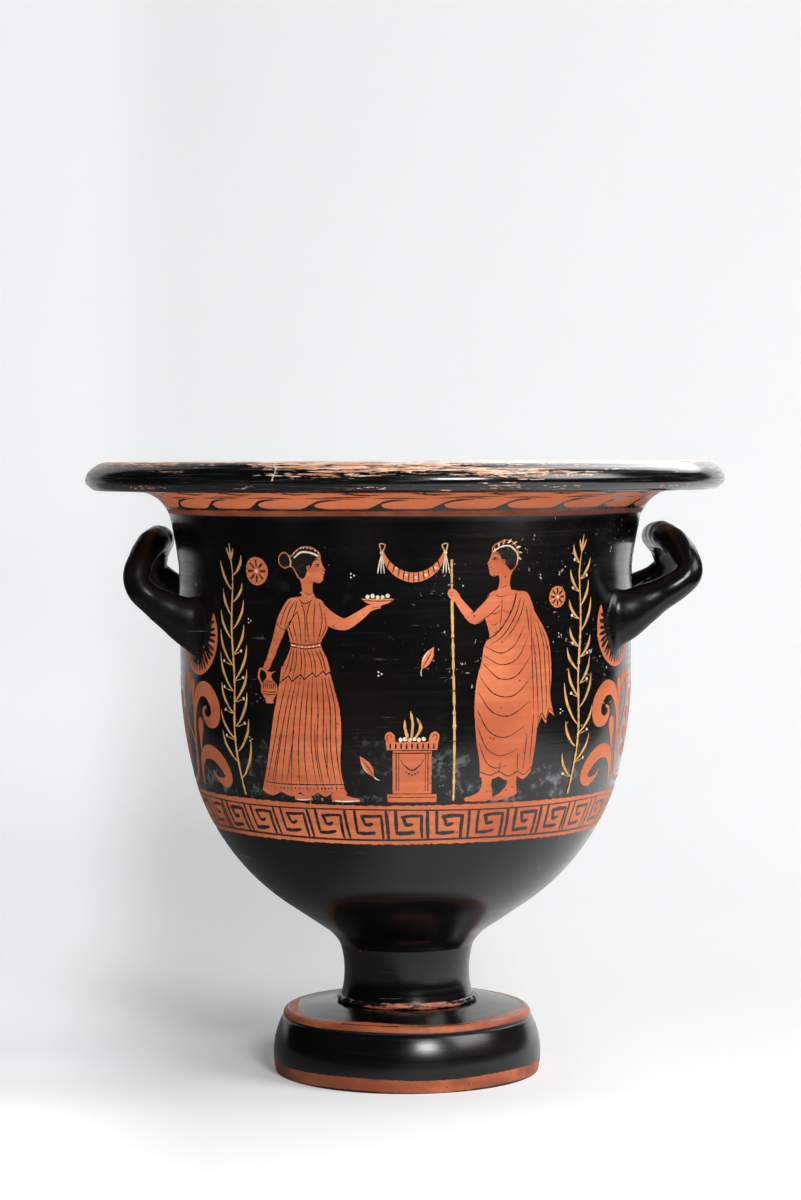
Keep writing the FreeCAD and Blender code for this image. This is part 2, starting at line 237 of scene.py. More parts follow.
class Place:
    """Where a drawing stands on the wall, its scale, and whether it faces left."""

    def __init__(self, across, up, scale=1, flip=False):
        self.across = across
        self.up = up
        self.scale = scale
        self.side = -1 if flip else 1

    def __call__(self, point):
        return (self.across + self.side * self.scale * point[0], self.up + self.scale * point[1])

    def patch(self, layer, points, wobble=0.12):
        """A filled shape with a hand-drawn edge."""
        line = outline([self(p) + tuple(p[2:]) for p in points])
        self.filled(layer, line, wobble)

    def filled(self, layer, line, wobble=0):
        line = [(a + hand.gauss(0, wobble) * 0.5, b + hand.gauss(0, wobble) * 0.5) for a, b in line]
        shapes.append((layer, "patch", line, None))

    def stroke(self, layer, points, width, start=0.45, end=0.2, uneven=0.12):
        """One brush line, thin where it starts and ends."""
        line = flow([self(p) for p in points], False, BRUSH_STEP)
        last = max(1, len(line) - 1)
        widths = []
        for i in range(len(line)):
            t = i / last
            swell = min(1, mix(start, 1, t / 0.25), mix(end, 1, (1 - t) / 0.3))
            widths.append(width * self.scale * swell * (1 + hand.gauss(0, uneven)))
        shapes.append((layer, "ribbon", line, widths))

    def course(self, stations):
        return flow([self(p) + (p[2] * self.scale,) for p in stations], False, BRUSH_STEP)

    def limb(self, layer, stations):
        """A band whose width changes: stations are (x, y, width)."""
        line = self.course(stations)
        shapes.append((layer, "ribbon", [p[:2] for p in line], [p[2] for p in line]))

    def limb_edges(self, layer, stations, width):
        """Both contour lines of such a band."""
        line = self.course(stations)
        for side in (-1, 1):
            edge = []
            for before, here, after in zip(line[:1] + line[:-1], line, line[1:] + line[-1:]):
                dx, dy = heading(before, after)
                half = side * here[2] * 0.5
                edge.append((here[0] - dy * half, here[1] + dx * half))
            widths = [width * self.scale * (1 + hand.gauss(0, 0.1)) for _ in edge]
            shapes.append((layer, "ribbon", edge, widths))

    def dot(self, layer, x, y, radius):
        ring = [(x + radius * cos(k * tau / 10) * hand.uniform(0.85, 1.1),
                 y + radius * sin(k * tau / 10) * hand.uniform(0.85, 1.1)) for k in range(10)]
        self.patch(layer, ring, 0)

    def dots(self, layer, points, gap, radius):
        """A row of dots along a curve."""
        line = flow([tuple(p) for p in points], False, gap)
        for x, y in line:
            self.dot(layer, x, y, radius * hand.uniform(0.8, 1.2))


# Layers of paint: the colour, and how far it stands off the pot in millimetres

CLAY = ("clay", 0.07)
INK = ("ink", 0.14)
CLAY_OVER = ("clay", 0.21)
INK_OVER = ("ink", 0.28)
WHITE = ("white", 0.38)
YELLOW = ("yellow", 0.38)
STAFF = ("yellow", 0.07)


# Ornament bands

def meander_band(low, high):
    """A running meander, its strokes set between two reserved lines."""
    units = 33
    pitch = 2 * HALF_ROUND / units
    band = Place(0, 0)
    ring(CLAY, low, high)
    margin = 3
    top = high - margin
    bottom = low + margin
    tall = top - bottom
    ring(INK, top, top + 0.75, 0.3)
    ring(INK, bottom - 1.05, bottom, 0.3)
    for unit in range(units):
        start = -HALF_ROUND + unit * pitch + hand.uniform(-0.5, 0.5)
        wide = pitch * hand.uniform(0.97, 1.03)

        def at(x, y):
            return (start + wide * x + hand.uniform(-0.25, 0.25),
                    bottom + tall * y + hand.uniform(-0.25, 0.25))

        weight = hand.uniform(1.7, 2.25)
        for line in (
            (at(0.02, 1), at(0.04, 0.5), at(0.07, 0)), (at(0.25, 1), at(0.26, 0.55), at(0.28, 0.2)),
            (at(0.27, 0.2), at(0.5, 0.2), at(0.72, 0.23)), (at(0.4, 0.8), at(0.66, 0.82), at(0.91, 0.82)),
            (at(0.9, 0.82), at(0.9, 0.45), at(0.92, 0.02)), (at(0.43, 0.8), at(0.46, 0.66), at(0.49, 0.52)),
            (at(0.48, 0.5), at(0.56, 0.49), at(0.67, 0.54)),
        ):
            band.stroke(INK, line, weight * hand.uniform(0.85, 1.1), 0.8, 0.7, 0.08)


def ring(layer, low, high, ragged=0.22):
    """A band painted right round."""
    line = []
    steps = 420
    lobes = 5
    phase = hand.uniform(0, 6)
    for k in range(steps + 1):
        across = -HALF_ROUND + 2 * HALF_ROUND * k / steps
        sway = ragged * sin(lobes * across / WALL_RADIUS + phase)
        if k in (0, steps):
            sway = ragged * sin(lobes * pi + phase)
        line.append((across, (low + high) / 2 + sway))
    widths = [(high - low) * (1 + 0.5 * ragged * hand.uniform(-0.25, 0.25)) for _ in line]
    widths[-1] = widths[0]
    shapes.append((layer, "ribbon", line, widths))


def laurel_band(low, high):
    """Laurel leaves lying round the neck, reserved, with black between them."""
    ring(CLAY, low, high, 0.05)
    leaves = 25
    pitch = 2 * HALF_ROUND / leaves
    row = 5.3
    for leaf in range(leaves):
        band = Place(-HALF_ROUND + leaf * pitch + hand.uniform(-1, 1), low)
        wide = pitch * hand.uniform(0.97, 1.02)
        tall = row * hand.uniform(0.95, 1.05)
        swoosh = (
            (-0.42, -0.06), (-0.24, 0.03), (-0.08, 0.2), (0.03, 0.52), (0.16, 0.86), (0.34, 1.02),
            (0.56, 0.98, 1), (0.38, 0.9), (0.21, 0.74), (0.1, 0.5), (0.12, 0.27), (0.24, 0.12), (0.4, 0.03),
            (0.6, -0.06, 1), (0.3, -0.12), (0, -0.12), (-0.42, -0.1, 1))
        band.patch(INK, [(p[0] * wide, p[1] * tall) + tuple(p[2:]) for p in swoosh], 0.06)
        band.stroke(INK, [(0, tall * 1.12), (wide * 0.35, tall * 1.16), (wide * 0.8, tall * 1.08)], 0.45,
                    0.3, 0.2)
        if leaf % 2:
            band.stroke(INK, [(0.3 * wide, tall * 1.3), (wide * 0.7, tall * 1.27), (wide, tall * 1.32)],
                        0.4, 0.3, 0.2)
        upper = (
            (0.55, 1.62, 1), (0.72, 1.5), (0.86, 1.42), (1.04, 1.44), (1.2, 1.56, 1), (1.05, 1.54),
            (0.9, 1.55), (0.78, 1.62), (0.7, 1.72, 1))
        band.patch(INK, [(p[0] * wide, p[1] * tall) + tuple(p[2:]) for p in upper], 0.04)
    Place(0, 0).stroke(INK, [(-HALF_ROUND, low + 0.15), (0, low + 0.1), (HALF_ROUND, low + 0.15)],
                       0.5, 1, 1)


def tongues(across, up, outward):
    """The tongue pattern that hangs like a crescent round a handle's root."""
    here = Place(across, up)
    radius = 22
    sunk = -4
    outer = []
    inner = []
    for k in range(41):
        share = k / 40
        angle = radians(mix(-212, 32, share))
        wide = 1 + 9.6 * sqrt(sin(pi * share))
        c = cos(angle) * outward
        s = sin(angle)
        outer.append((outward + radius * c, sunk + radius * s))
        inner.append((outward + (radius - wide) * c, sunk + (radius - wide) * s))
    here.filled(CLAY, [here(p) for p in outer + inner[::-1]], 0.05)
    for k in range(22):
        angle = radians(mix(-205, 25, (k + 0.5) / 22) + hand.uniform(-1.5, 1.5))
        c = cos(angle) * outward
        s = sin(angle)
        here.stroke(INK, [(outward + r * c, sunk + r * s) for r in (11.6, 16, hand.uniform(19.4, 20.2))],
                    2.1, 1, 0.5)


def petal(here, base, tip, wide, lean=0):
    """A palmette's leaf: narrow at its base and round at its tip."""
    dx = tip[0] - base[0]
    dy = tip[1] - base[1]

    def at(along, aside):
        bend = lean * sin(along * pi)
        return (base[0] + dx * along - dy * (aside * wide / hypot(dx, dy)) - dy * bend,
                base[1] + dy * along + dx * (aside * wide / hypot(dx, dy)) + dx * bend)

    here.patch(CLAY, [
        at(0, 0.08) + (1,), at(0.3, 0.22), at(0.62, 0.43), at(0.86, 0.48), at(0.98, 0.22),
        at(1, -0.05), at(0.93, -0.36), at(0.72, -0.48), at(0.35, -0.27), at(0, -0.08) + (1,)])


def palmettes(centre):
    """The palmette under a handle, with its scrolls on both sides."""
    here = Place(centre, 0)
    fan = 11
    heart = 179.5
    for k in range(fan):
        angle = radians(mix(-94, 94, k / (fan - 1)))
        out = 34 + 9 * cos(angle)
        tip = (out * sin(angle) * 0.94, 182 + out * cos(angle) * 0.92)
        base = (6.6 * sin(angle), 180 + 6.6 * cos(angle))
        petal(here, base, tip, 8, -0.05 * sin(angle))
    core = [(5.2 * sin(radians(a)), heart + 5.2 * cos(radians(a))) for a in range(0, 360, 30)]
    here.patch(CLAY, core)
    here.dot(INK, 0, heart, 2.4)
    for side in (-1, 1):
        def right(points):
            return [(side * p[0],) + tuple(p[1:]) for p in points]

        here.limb(CLAY, right([
            (3, 168, 1.2), (14, 163.8, 2.2), (30, 164, 2.8), (41, 172, 3), (46.5, 188, 3.4), (50.5, 203, 5),
            (58, 213.5, 7.2), (68, 214.6, 8.6), (75.5, 207.5, 9.4), (74.5, 199.8, 8.6), (67.5, 197.6, 5.4),
            (62.8, 201, 3.2), (63.4, 204.6, 2), (66.2, 205.6, 1.4)]))
        here.limb(CLAY, right([
            (46.6, 163, 2.2), (50.5, 173.5, 4.2), (57, 180, 6.6), (67, 181.2, 8), (76, 176.8, 8.4),
            (80.6, 169.6, 7.2), (76.5, 165.8, 5.2), (69, 167.4, 2.6), (65.2, 171.6, 1.3)]))
        petal(here, (side * 53, 181.5), (side * 58.6, 199.5), 7)
        petal(here, (side * 48.4, 204), (side * 50, 220), 5.6, 0.03 * side)
        here.limb(CLAY, right([
            (45, 184, 2.2), (38.5, 196, 2.6), (33.5, 209, 4), (36.5, 219.6, 5.4), (43.4, 220.6, 4.6),
            (44.8, 214.6, 2.4), (42, 212.4, 1.2)]))


# Figures

FACE = (
    (-2, 14.8), (2.6, 15.6), (5.4, 14.9), (7.1, 12.9), (7.7, 10.7), (8.5, 8.6), (9.6, 6.7, 1),
    (8.8, 6), (9, 5.3), (8.5, 4.7), (8.7, 4.1), (8.1, 3.4), (8.3, 2), (7.2, 0.7), (5, 0.2),
    (3.1, 0.7), (2.7, -2.4), (3.5, -5.8), (5.6, -8, 1), (-5, -8, 1), (-3.2, -5), (-3.3, -0.6),
    (-4.6, 3.2), (-5, 8.4), (-4.2, 12.8))


def face(at):
    """A plain profile with brow, eye, nostril, mouth and the neck's line."""
    at.patch(CLAY, FACE, 0.04)
    at.stroke(INK, [(3.5, 10.9), (5.2, 11.9), (7, 11.4)], 0.42, 0.5, 0.3)
    at.stroke(INK, [(3.7, 9), (5.3, 9.8), (6.9, 9.2)], 0.42, 0.6, 0.6)
    at.stroke(INK, [(4.1, 8.6), (5.4, 8.4), (6.6, 8.8)], 0.3, 0.5, 0.5)
    at.dot(INK, 5.7, 9.15, 0.45)
    at.stroke(INK, [(8, 7), (8.6, 6.6), (8.1, 6.3)], 0.3, 0.7, 0.7)
    at.stroke(INK, [(7, 4.9), (8.3, 4.75)], 0.36, 0.5, 0.8)
    at.stroke(INK, [(3.1, 0.8), (4.6, 0.5), (6.2, 0.9)], 0.3, 0.3, 0.3)
    at.stroke(INK, [(-1.4, -4.2), (0.6, -5.2), (2.6, -5)], 0.28, 0.3, 0.3)


def hair(at, points):
    """A head of black hair with its reserved edge."""
    edge = outline([at(p) + tuple(p[2:]) for p in points])
    at.filled(CLAY, edge, 0.05)
    at.filled(INK, shrunk(edge, 0.62 * at.scale), 0.05)


def ear(at):
    """An ear, with its fold."""
    at.patch(CLAY_OVER, [(0, 8.6), (1.5, 9), (1.7, 7.4), (0.7, 5.6), (-0.1, 6.8)], 0.02)
    at.stroke(INK_OVER, [(0.5, 8.2), (1.2, 7.8), (0.8, 6.6)], 0.28)


def phiale(at, x, y):
    """A shallow libation bowl seen from the side, with fruit on it."""
    at.patch(CLAY, moved(x, y, [
        (-8.4, 1.3, 1), (8.4, 1.3, 1), (5.4, -1), (1.6, -2, 1), (-1.6, -2, 1), (-5.4, -1)]))
    at.stroke(INK, moved(x, y, [(-7.6, 0.5), (0, 0.1), (7.6, 0.5)]), 0.4, 0.6, 0.6)
    for k in range(5):
        at.dot(WHITE, x - 5.2 + 2.6 * k, y + 2.3 + 0.5 * sin(k * 1.9), 1.1)


def jug(at, x, y):
    """A small wine jug hanging from the hand by its handle."""
    at.patch(CLAY, moved(x, y, [
        (-2.6, -16.4, 1), (2.6, -16.4, 1), (2.2, -15), (5.2, -10.6), (4.8, -6.6), (1.8, -3.6), (1.5, -1.4),
        (4.6, 0.4, 1), (0.6, -0.2), (-3.2, 0.9, 1), (-1.7, -1.6), (-1.9, -3.6), (-4.8, -6.6), (-5.2, -10.6),
        (-2.2, -15)]))
    at.stroke(CLAY, moved(x, y, [(-2.8, 0.6), (-5.6, 1.4), (-7, -2.6), (-5, -6.6)]), 1.2, 0.9, 0.9)
    for level, half in ((-4.6, 2.4), (-10.2, 4.7), (-11.4, 4.6)):
        at.stroke(INK, [(x - half, y + level), (x, y + level - 0.5), (x + half, y + level)], 0.42, 0.7, 0.7)
    for k in range(7):
        at.stroke(INK, [(x - 3.9 + 1.3 * k, y - 5.6), (x - 3.9 + 1.3 * k, y - 8.9)], 0.7, 0.8, 0.5)


def woman(at):
    """A standing woman in a belted chiton, with a bowl and a jug."""
    head = Place(at((1.2, 112))[0], at((1.2, 112))[1], at.scale * 1.05, at.side < 0)
    # Far arm, reaching forwards with the bowl.
    far = [(6.5, 99.5, 8.2), (13, 94.2, 7.6), (21, 91.4, 6.2), (28, 95, 5), (33, 98.6, 3.8)]
    at.limb(CLAY, far)
    at.patch(CLAY, [(32, 96.6), (36, 98.6), (40.2, 99.8), (40.4, 101), (36, 101.2), (32.6, 100.8)])
    at.stroke(INK, [(35, 99.6), (38, 100.2), (40, 100.4)], 0.3)
    phiale(at, 38.6, 103.2)
    # Dress below the belt, then its overfold and the bodice.
    at.patch(CLAY, [
        (12.2, 69, 1), (15.6, 58), (18.4, 46), (18.6, 32), (17.4, 18), (18.8, 7), (20.2, 3.4, 1), (16, 2),
        (11.6, 4.2, 1), (7.4, 1.6), (3, 3.8, 1), (-2.6, 1.2), (-8, 3.6, 1), (-14, 1), (-20.6, 3.2, 1),
        (-27, 0.8), (-34, 3, 1), (-29.2, 13), (-24.4, 27), (-20.4, 43), (-17, 56), (-14.6, 69, 1)])
    at.patch(CLAY, [
        (4.4, 104.6, 1), (8.8, 103.6), (11.4, 99.4), (12.8, 93.6), (11.6, 87.6), (8.8, 83), (8.4, 80),
        (11.4, 74), (13.6, 66.6, 1), (11, 65, 1), (9.6, 67.2, 1), (5.6, 63.8, 1), (3.6, 66.2, 1),
        (-1.2, 62.4, 1), (-3.2, 65.2, 1), (-8.4, 61.2, 1), (-10.4, 64.2, 1), (-16, 60.4, 1), (-13.6, 69),
        (-10.4, 75.6), (-9, 80), (-10.2, 86), (-12, 93), (-12.6, 99), (-10, 103.4), (-4.2, 105.2, 1)])
    # Feet in soft shoes.
    at.patch(CLAY, [(11, 3.6, 1), (16.5, 3.2), (22.5, 1.8), (27, 0.9), (27.4, -0.5), (20, -0.9),
                    (11, -0.9, 1)])
    at.patch(CLAY, [(-12, 3, 1), (-6, 2), (-0.8, 1), (-0.6, -0.5), (-7, -0.9), (-12, -0.9, 1)])
    at.stroke(WHITE, [(13, -0.3), (20, -0.4), (26.8, 0.1)], 0.8, 0.8, 0.5)
    at.stroke(WHITE, [(-11, -0.4), (-6, -0.4), (-1, 0.1)], 0.7, 0.8, 0.5)
    # Folds of the bodice and the overfold.
    for top, middle, foot in (
        ((-8.6, 102.6), (-7.6, 92), (-4.6, 81)), ((-6.4, 103.2), (-3.6, 92), (-2.8, 81)),
        ((7.6, 102.6), (9.2, 93), (6.4, 81)), ((5.4, 103.4), (4.6, 92), (4.6, 81)),
        ((3.2, 103.6), (0.6, 95), (2, 81)), ((-3.2, 103.8), (-0.6, 96), (-0.4, 81)),
        ((10.6, 97), (11.2, 90), (7.4, 82.6)), ((-10.8, 98), (-10, 90), (-7.2, 82)),
    ):
        at.stroke(INK, [top, middle, foot], 0.46)
    at.stroke(INK, [(-4, 104.2), (-0.5, 101.6), (4.2, 103.8)], 0.5)
    for height, droop in ((81.2, -0.9), (79.4, -1)):
        at.stroke(INK, [(-8.8, height), (0, height + droop), (8.2, height + 0.2)], 0.5, 1, 1)
    at.dots(WHITE, [(-8, 80.2), (0, 79.3), (7.6, 80.4)], 2, 0.4)
    for top, foot in (((7.4, 78.4), (11, 65.4)), ((5.2, 78.2), (9.4, 66.8)), ((3, 78), (5.4, 64.6)),
                      ((0.8, 78), (3.4, 65.8)), ((-1.4, 78), (-1.2, 63.2)), ((-3.4, 78.2), (-3.4, 64.8)),
                      ((-5.4, 78.4), (-8.2, 62)), ((-7.2, 78.6), (-10.6, 63.8)),
                      ((-8.4, 78.6), (-14.6, 61.8))):
        bend = ((top[0] + foot[0]) / 2 + 0.8, (top[1] + foot[1]) / 2)
        at.stroke(INK, [top, bend, foot], 0.46)
    hem = [(13.4, 66.8), (11, 65.2), (9.6, 67.2), (5.6, 63.9), (3.6, 66.2), (-1.2, 62.5), (-3.2, 65.2),
           (-8.4, 61.3), (-10.4, 64.2), (-15.8, 60.6)]
    for here, there in zip(hem, hem[1:]):
        at.stroke(INK, [here, there], 0.6, 1, 1)
    # Folds of the skirt, gathered over the advanced leg.
    for top, knee, shin, foot in (
        ((12.4, 64), (15.8, 48), (15.8, 26), (17.6, 6)), ((10.4, 64), (13.2, 47), (12.6, 26), (14.6, 4.4)),
        ((8.8, 65), (9.6, 48), (8.6, 27), (11.4, 5.4)), ((5.8, 62.6), (6.4, 46), (5, 25), (7.4, 3.2)),
        ((3.6, 64.6), (2.8, 47), (1.6, 26), (3.2, 5)), ((1.4, 62.6), (-0.4, 45), (-2.8, 24), (-2.6, 2.8)),
        ((-1.2, 61.4), (-3.8, 44), (-6.4, 24), (-7.6, 4.6)),
        ((-3.2, 63.6), (-7, 45), (-10, 26), (-13.4, 2.6)),
        ((-6, 61.6), (-10.2, 45), (-14.6, 26), (-20, 4.4)),
        ((-8.6, 60.2), (-13.4, 43), (-18.6, 24), (-26, 2.4)),
        ((-11.4, 62), (-16.2, 46), (-21, 29), (-30.4, 4.4)), ((4.4, 40), (3.8, 28), (4.6, 16), (5.6, 8)),
        ((-8, 36), (-11, 24), (-14.6, 12), (-16.4, 7)), ((10.6, 40), (10.6, 30), (10, 20), (9.6, 12)),
        ((-16, 36), (-19.6, 24), (-23.6, 13), (-25.6, 8)),
    ):
        at.stroke(INK, [top, knee, shin, foot], 0.5)
    border = [(18.6, 8.4), (11.8, 8.2), (3.2, 7.8), (-8.2, 7.6), (-20.4, 7.4), (-31, 8.2)]
    at.stroke(INK, border, 0.55, 0.8, 0.8)
    at.dots(INK, [(x, y - 2) for x, y in border], 2.4, 0.42)
    # Near arm, hanging, with the jug.
    jug(at, -22.6, 66)
    near = [(-8.2, 100, 8.4), (-13.2, 93, 7.4), (-16.2, 85.6, 6), (-19.6, 77.6, 4.8), (-22.6, 71, 3.6)]
    at.limb(CLAY_OVER, near)
    at.limb_edges(INK_OVER, near[:4], 0.45)
    at.patch(CLAY_OVER, [(-21, 71.6), (-21.6, 68.6), (-23.4, 66.4), (-26, 66.4), (-26.2, 68.4),
                         (-24.4, 71.8)])
    at.stroke(INK_OVER, [(-22.6, 68.8), (-24, 67.6), (-25.6, 67.6)], 0.3)
    at.patch(CLAY_OVER, [(-4.6, 103.8), (-9.2, 104.2), (-12.8, 100.4), (-17.6, 91.6, 1), (-11, 87.6, 1),
                         (-6.4, 95)])
    for line in (((-6, 103), (-9.6, 97.4), (-12.4, 89.2)), ((-8.6, 103.4), (-12.2, 97.8), (-15, 90.4)),
                 ((-17.6, 91.4), (-14.4, 88.4), (-11, 87.8)), ((-4.8, 102.6), (-7, 95.8), (-10.8, 88.2))):
        at.stroke(INK_OVER, line, 0.46, 0.8, 0.8)
    for share in (0, 1.1):
        at.stroke(YELLOW, [(-23.2 + share, 74.2 + share), (-20.6 + share * 0.4, 73 + share * 1.6)],
                  0.5, 1, 1)
        at.stroke(YELLOW, [(28.4 + share, 97.6 + share * 0.5), (29.6 + share, 93.4 + share * 0.6)],
                  0.5, 1, 1)
    # Head, with the hair tied up in a knot.
    face(head)
    hair(head, (
        (7.6, 12.6, 1), (6.8, 15.4), (3, 18), (-1.8, 18.2), (-6, 16), (-8.6, 13.6), (-12, 15.6),
        (-15.4, 13.4), (-15.6, 9.4), (-12.6, 7.2), (-9.2, 8.2), (-7.2, 6.4), (-5.4, 3), (-2.8, 1.6),
        (-0.6, 3.2), (0.2, 5.6), (2.2, 6.8), (3.4, 9.2), (5.2, 11.8)))
    ear(head)
    head.stroke(WHITE, [(6.4, 13.6), (2.4, 15.2), (-2.6, 15.4), (-6.6, 12.6)], 0.9, 0.9, 0.8)
    head.dots(WHITE, [(6.6, 15.2), (2.6, 17.2), (-2.6, 17.4), (-6.4, 15)], 1.9, 0.42)
    head.stroke(YELLOW, [(-9.4, 13.6), (-8.6, 10.6), (-9.2, 8.4)], 0.8, 1, 1)
    head.dots(YELLOW, [(-3.4, -4.4), (0.2, -6.4), (3.4, -5.4)], 1.25, 0.42)
    head.dot(YELLOW, 0.9, 4.6, 0.6)


def foot_patch(at, x, lift):
    """A bare foot and ankle, its heel lifted a little."""
    at.patch(CLAY, [
        (x - 2.6, 13.6, 1), (x - 2.2, 8.4), (x - 3, 3.8 + lift), (x - 3.4, 0.6 + lift),
        (x - 0.4, -0.8 + lift), (x + 7, -0.8), (x + 12.4, -0.6), (x + 12.8, 0.9), (x + 8.6, 2.2),
        (x + 4.6, 4.6 + lift * 0.6), (x + 3.4, 8.4), (x + 4.2, 13.6, 1)])
    at.stroke(INK, [(x - 1.6, 4.8 + lift), (x - 0.4, 3.8 + lift), (x + 0.8, 4.6 + lift)], 0.34)
    at.stroke(INK, [(x + 9.6, 1.5), (x + 11.2, 0.7)], 0.28)


def youth(at, wreath=True):
    """A youth in a mantle that leaves the chest bare, leaning on a staff."""
    head = Place(at((2, 115.2))[0], at((2, 115.2))[1], at.scale * 1.03, at.side < 0)
    at.stroke(STAFF, [(30.6, 124), (30.2, 96), (29.2, 50), (28, 0.2)], 1.25, 0.9, 0.8, 0.2)
    for knot in (112, 84, 57, 31):
        at.stroke(INK, [(28, knot), (31.4, knot + 0.4)], 0.5, 1, 1)
    foot_patch(at, -6, 1.6)
    foot_patch(at, 9, 0)
    # Chest.
    at.patch(CLAY, [
        (4.6, 108, 1), (9.4, 107.4), (12.4, 103), (13.2, 97), (11.8, 91), (10.4, 86), (11, 79, 1),
        (-9, 79, 1), (-9.6, 86), (-11.5, 94), (-12.8, 101), (-11, 106.2), (-4, 108.2, 1)])
    for line in (((3.2, 105), (3.6, 98), (4.4, 88)), ((3.4, 98.2), (7.6, 96.2), (11.4, 97.8)),
                 ((3.4, 98.2), (-0.4, 96.8), (-3, 98.6)), ((0.2, 105.8), (4.2, 105), (8.6, 106.4)),
                 ((5.6, 91.6), (7.8, 90.4), (9.8, 91.2)), ((5.2, 87.6), (7.2, 86.6), (9, 87.2))):
        at.stroke(INK, line, 0.34)
    # Mantle: the part round the legs and up over the far shoulder.
    at.patch(CLAY_OVER, [
        (-13, 104.4), (-9.4, 107.6), (-5.4, 107.4, 1), (-3.6, 100), (0.6, 92), (6, 86), (12, 82.6, 1),
        (13.6, 78.6), (14.6, 72), (17.2, 62), (18.4, 48), (17, 32), (14.6, 20), (14, 12.4, 1), (8, 10.4),
        (3, 12, 1), (-3, 9.4), (-8.6, 11.6, 1), (-12.4, 9.8), (-17, 13.6, 1), (-18.2, 30), (-18.8, 48),
        (-17.6, 64), (-16.4, 78), (-17, 92)])
    at.patch(CLAY_OVER, [
        (-13.6, 100, 1), (-20, 91), (-25.2, 81), (-27, 66), (-26.6, 52), (-29.6, 42, 1), (-25.8, 44.6, 1),
        (-24, 38.4, 1), (-21, 42.2, 1), (-18.6, 36.4, 1), (-16.2, 56), (-14.6, 76)])
    roll = [(-4.8, 106.4), (-2.8, 99.4), (1.6, 91.6), (6.8, 85.8), (12.2, 82.8)]
    at.stroke(INK_OVER, roll, 0.6, 1, 1)
    at.stroke(INK_OVER, [(x - 2.4, y - 2.2) for x, y in roll], 0.5, 0.6, 0.5)
    at.stroke(INK_OVER, [(x - 4.8, y - 3.2) for x, y in roll[:4]], 0.46, 0.6, 0.4)
    for line in (
        ((12.6, 79.6), (4, 76), (-4, 80), (-9.6, 90)), ((13.4, 75), (4, 70), (-5.6, 73), (-12, 84)),
        ((14, 71), (5, 63), (-5, 64), (-13.6, 74)), ((15.6, 64), (7.6, 55), (-3.6, 54), (-14, 63)),
        ((16.4, 56), (9, 46), (-1.6, 43.6), (-13.6, 51)), ((16.8, 47), (10.4, 36), (0.6, 32.4), (-11, 38)),
        ((16.4, 38), (11, 27), (2.6, 22.8), (-7.6, 26)), ((15.4, 30), (11, 20), (5.4, 16.4), (-1.6, 17.6)),
        ((-13.6, 98), (-14, 84), (-14.8, 66), (-15.6, 46)), ((-10.6, 100), (-12, 92), (-12.6, 86)),
        ((-15.8, 44), (-15.6, 32), (-15.4, 18)), ((-12.2, 34), (-12, 24), (-11.8, 13.6)),
        ((-7.6, 24), (-7.8, 18), (-8.2, 12.8)), ((2.4, 20), (2.8, 16), (3, 13.2)),
        ((-17.6, 92), (-21.6, 80), (-23, 64), (-24.2, 46.6)),
        ((-15.8, 90), (-18.8, 78), (-20.4, 60), (-21.6, 44)),
        ((-14.8, 84), (-16.8, 70), (-18, 54), (-19, 39.6)),
        ((-20.4, 88), (-24.4, 78), (-25.6, 66), (-26.6, 50)),
    ):
        at.stroke(INK_OVER, line, 0.48)
    edge = [(14, 12.6), (8, 10.6), (3, 12.2), (-3, 9.6), (-8.6, 11.8), (-12.4, 10), (-17, 13.8)]
    at.stroke(INK_OVER, [(x, y + 2.2) for x, y in edge], 0.55, 0.8, 0.8)
    at.stroke(INK_OVER, [(-29, 43.6), (-25.8, 46.2), (-24, 40.4), (-21, 44), (-18.8, 38.4)], 0.5, 0.8, 0.8)
    # Near arm, bent, its hand on the staff.
    near = [(7.6, 103.2, 7.6), (13.4, 97.8, 6.8), (18.6, 94, 5.8), (23.6, 98.8, 4.8), (27.6, 104.2, 3.6)]
    at.limb(CLAY_OVER, near)
    at.limb_edges(INK_OVER, near[:3], 0.4)
    at.patch(CLAY_OVER, [(26, 104.6), (28, 108.4), (31, 109.6), (32.6, 107.6), (31.6, 104.8),
                         (28.6, 102.8)])
    for level in (106, 107.4):
        at.stroke(INK_OVER, [(29.8, level), (32, level + 0.5)], 0.28)
    # Head, short curls and a wreath.
    face(head)
    hair(head, (
        (7.4, 12.4, 1), (7.4, 14.8), (5.6, 16.6), (3.4, 17.6), (1.4, 18.6), (-1.4, 18.4), (-3.6, 17.6),
        (-5.6, 15.8), (-6.8, 13.6), (-7.6, 11), (-7.4, 8.2), (-6.6, 5.4), (-5, 3.2), (-3.2, 2.6),
        (-1.6, 3.8), (-0.4, 5.4), (1.8, 6.2), (2.6, 8.8), (4, 11.2), (5.6, 12.2)))
    ear(head)
    for k in range(9):
        angle = radians(20 + 24 * k)
        head.stroke(WHITE if k % 2 else YELLOW, [
            (-0.6 + 6.6 * cos(angle), 10.6 + 6.4 * sin(angle)),
            (-0.9 + 8.2 * cos(angle + 0.16), 10.9 + 8 * sin(angle + 0.16))], 1, 0.6, 0.3)
    if wreath:
        head.stroke(WHITE, [(6.8, 12.8), (3, 15), (-2, 15.4), (-6.2, 11.8), (-6.8, 7.6)], 0.75, 0.9, 0.7)


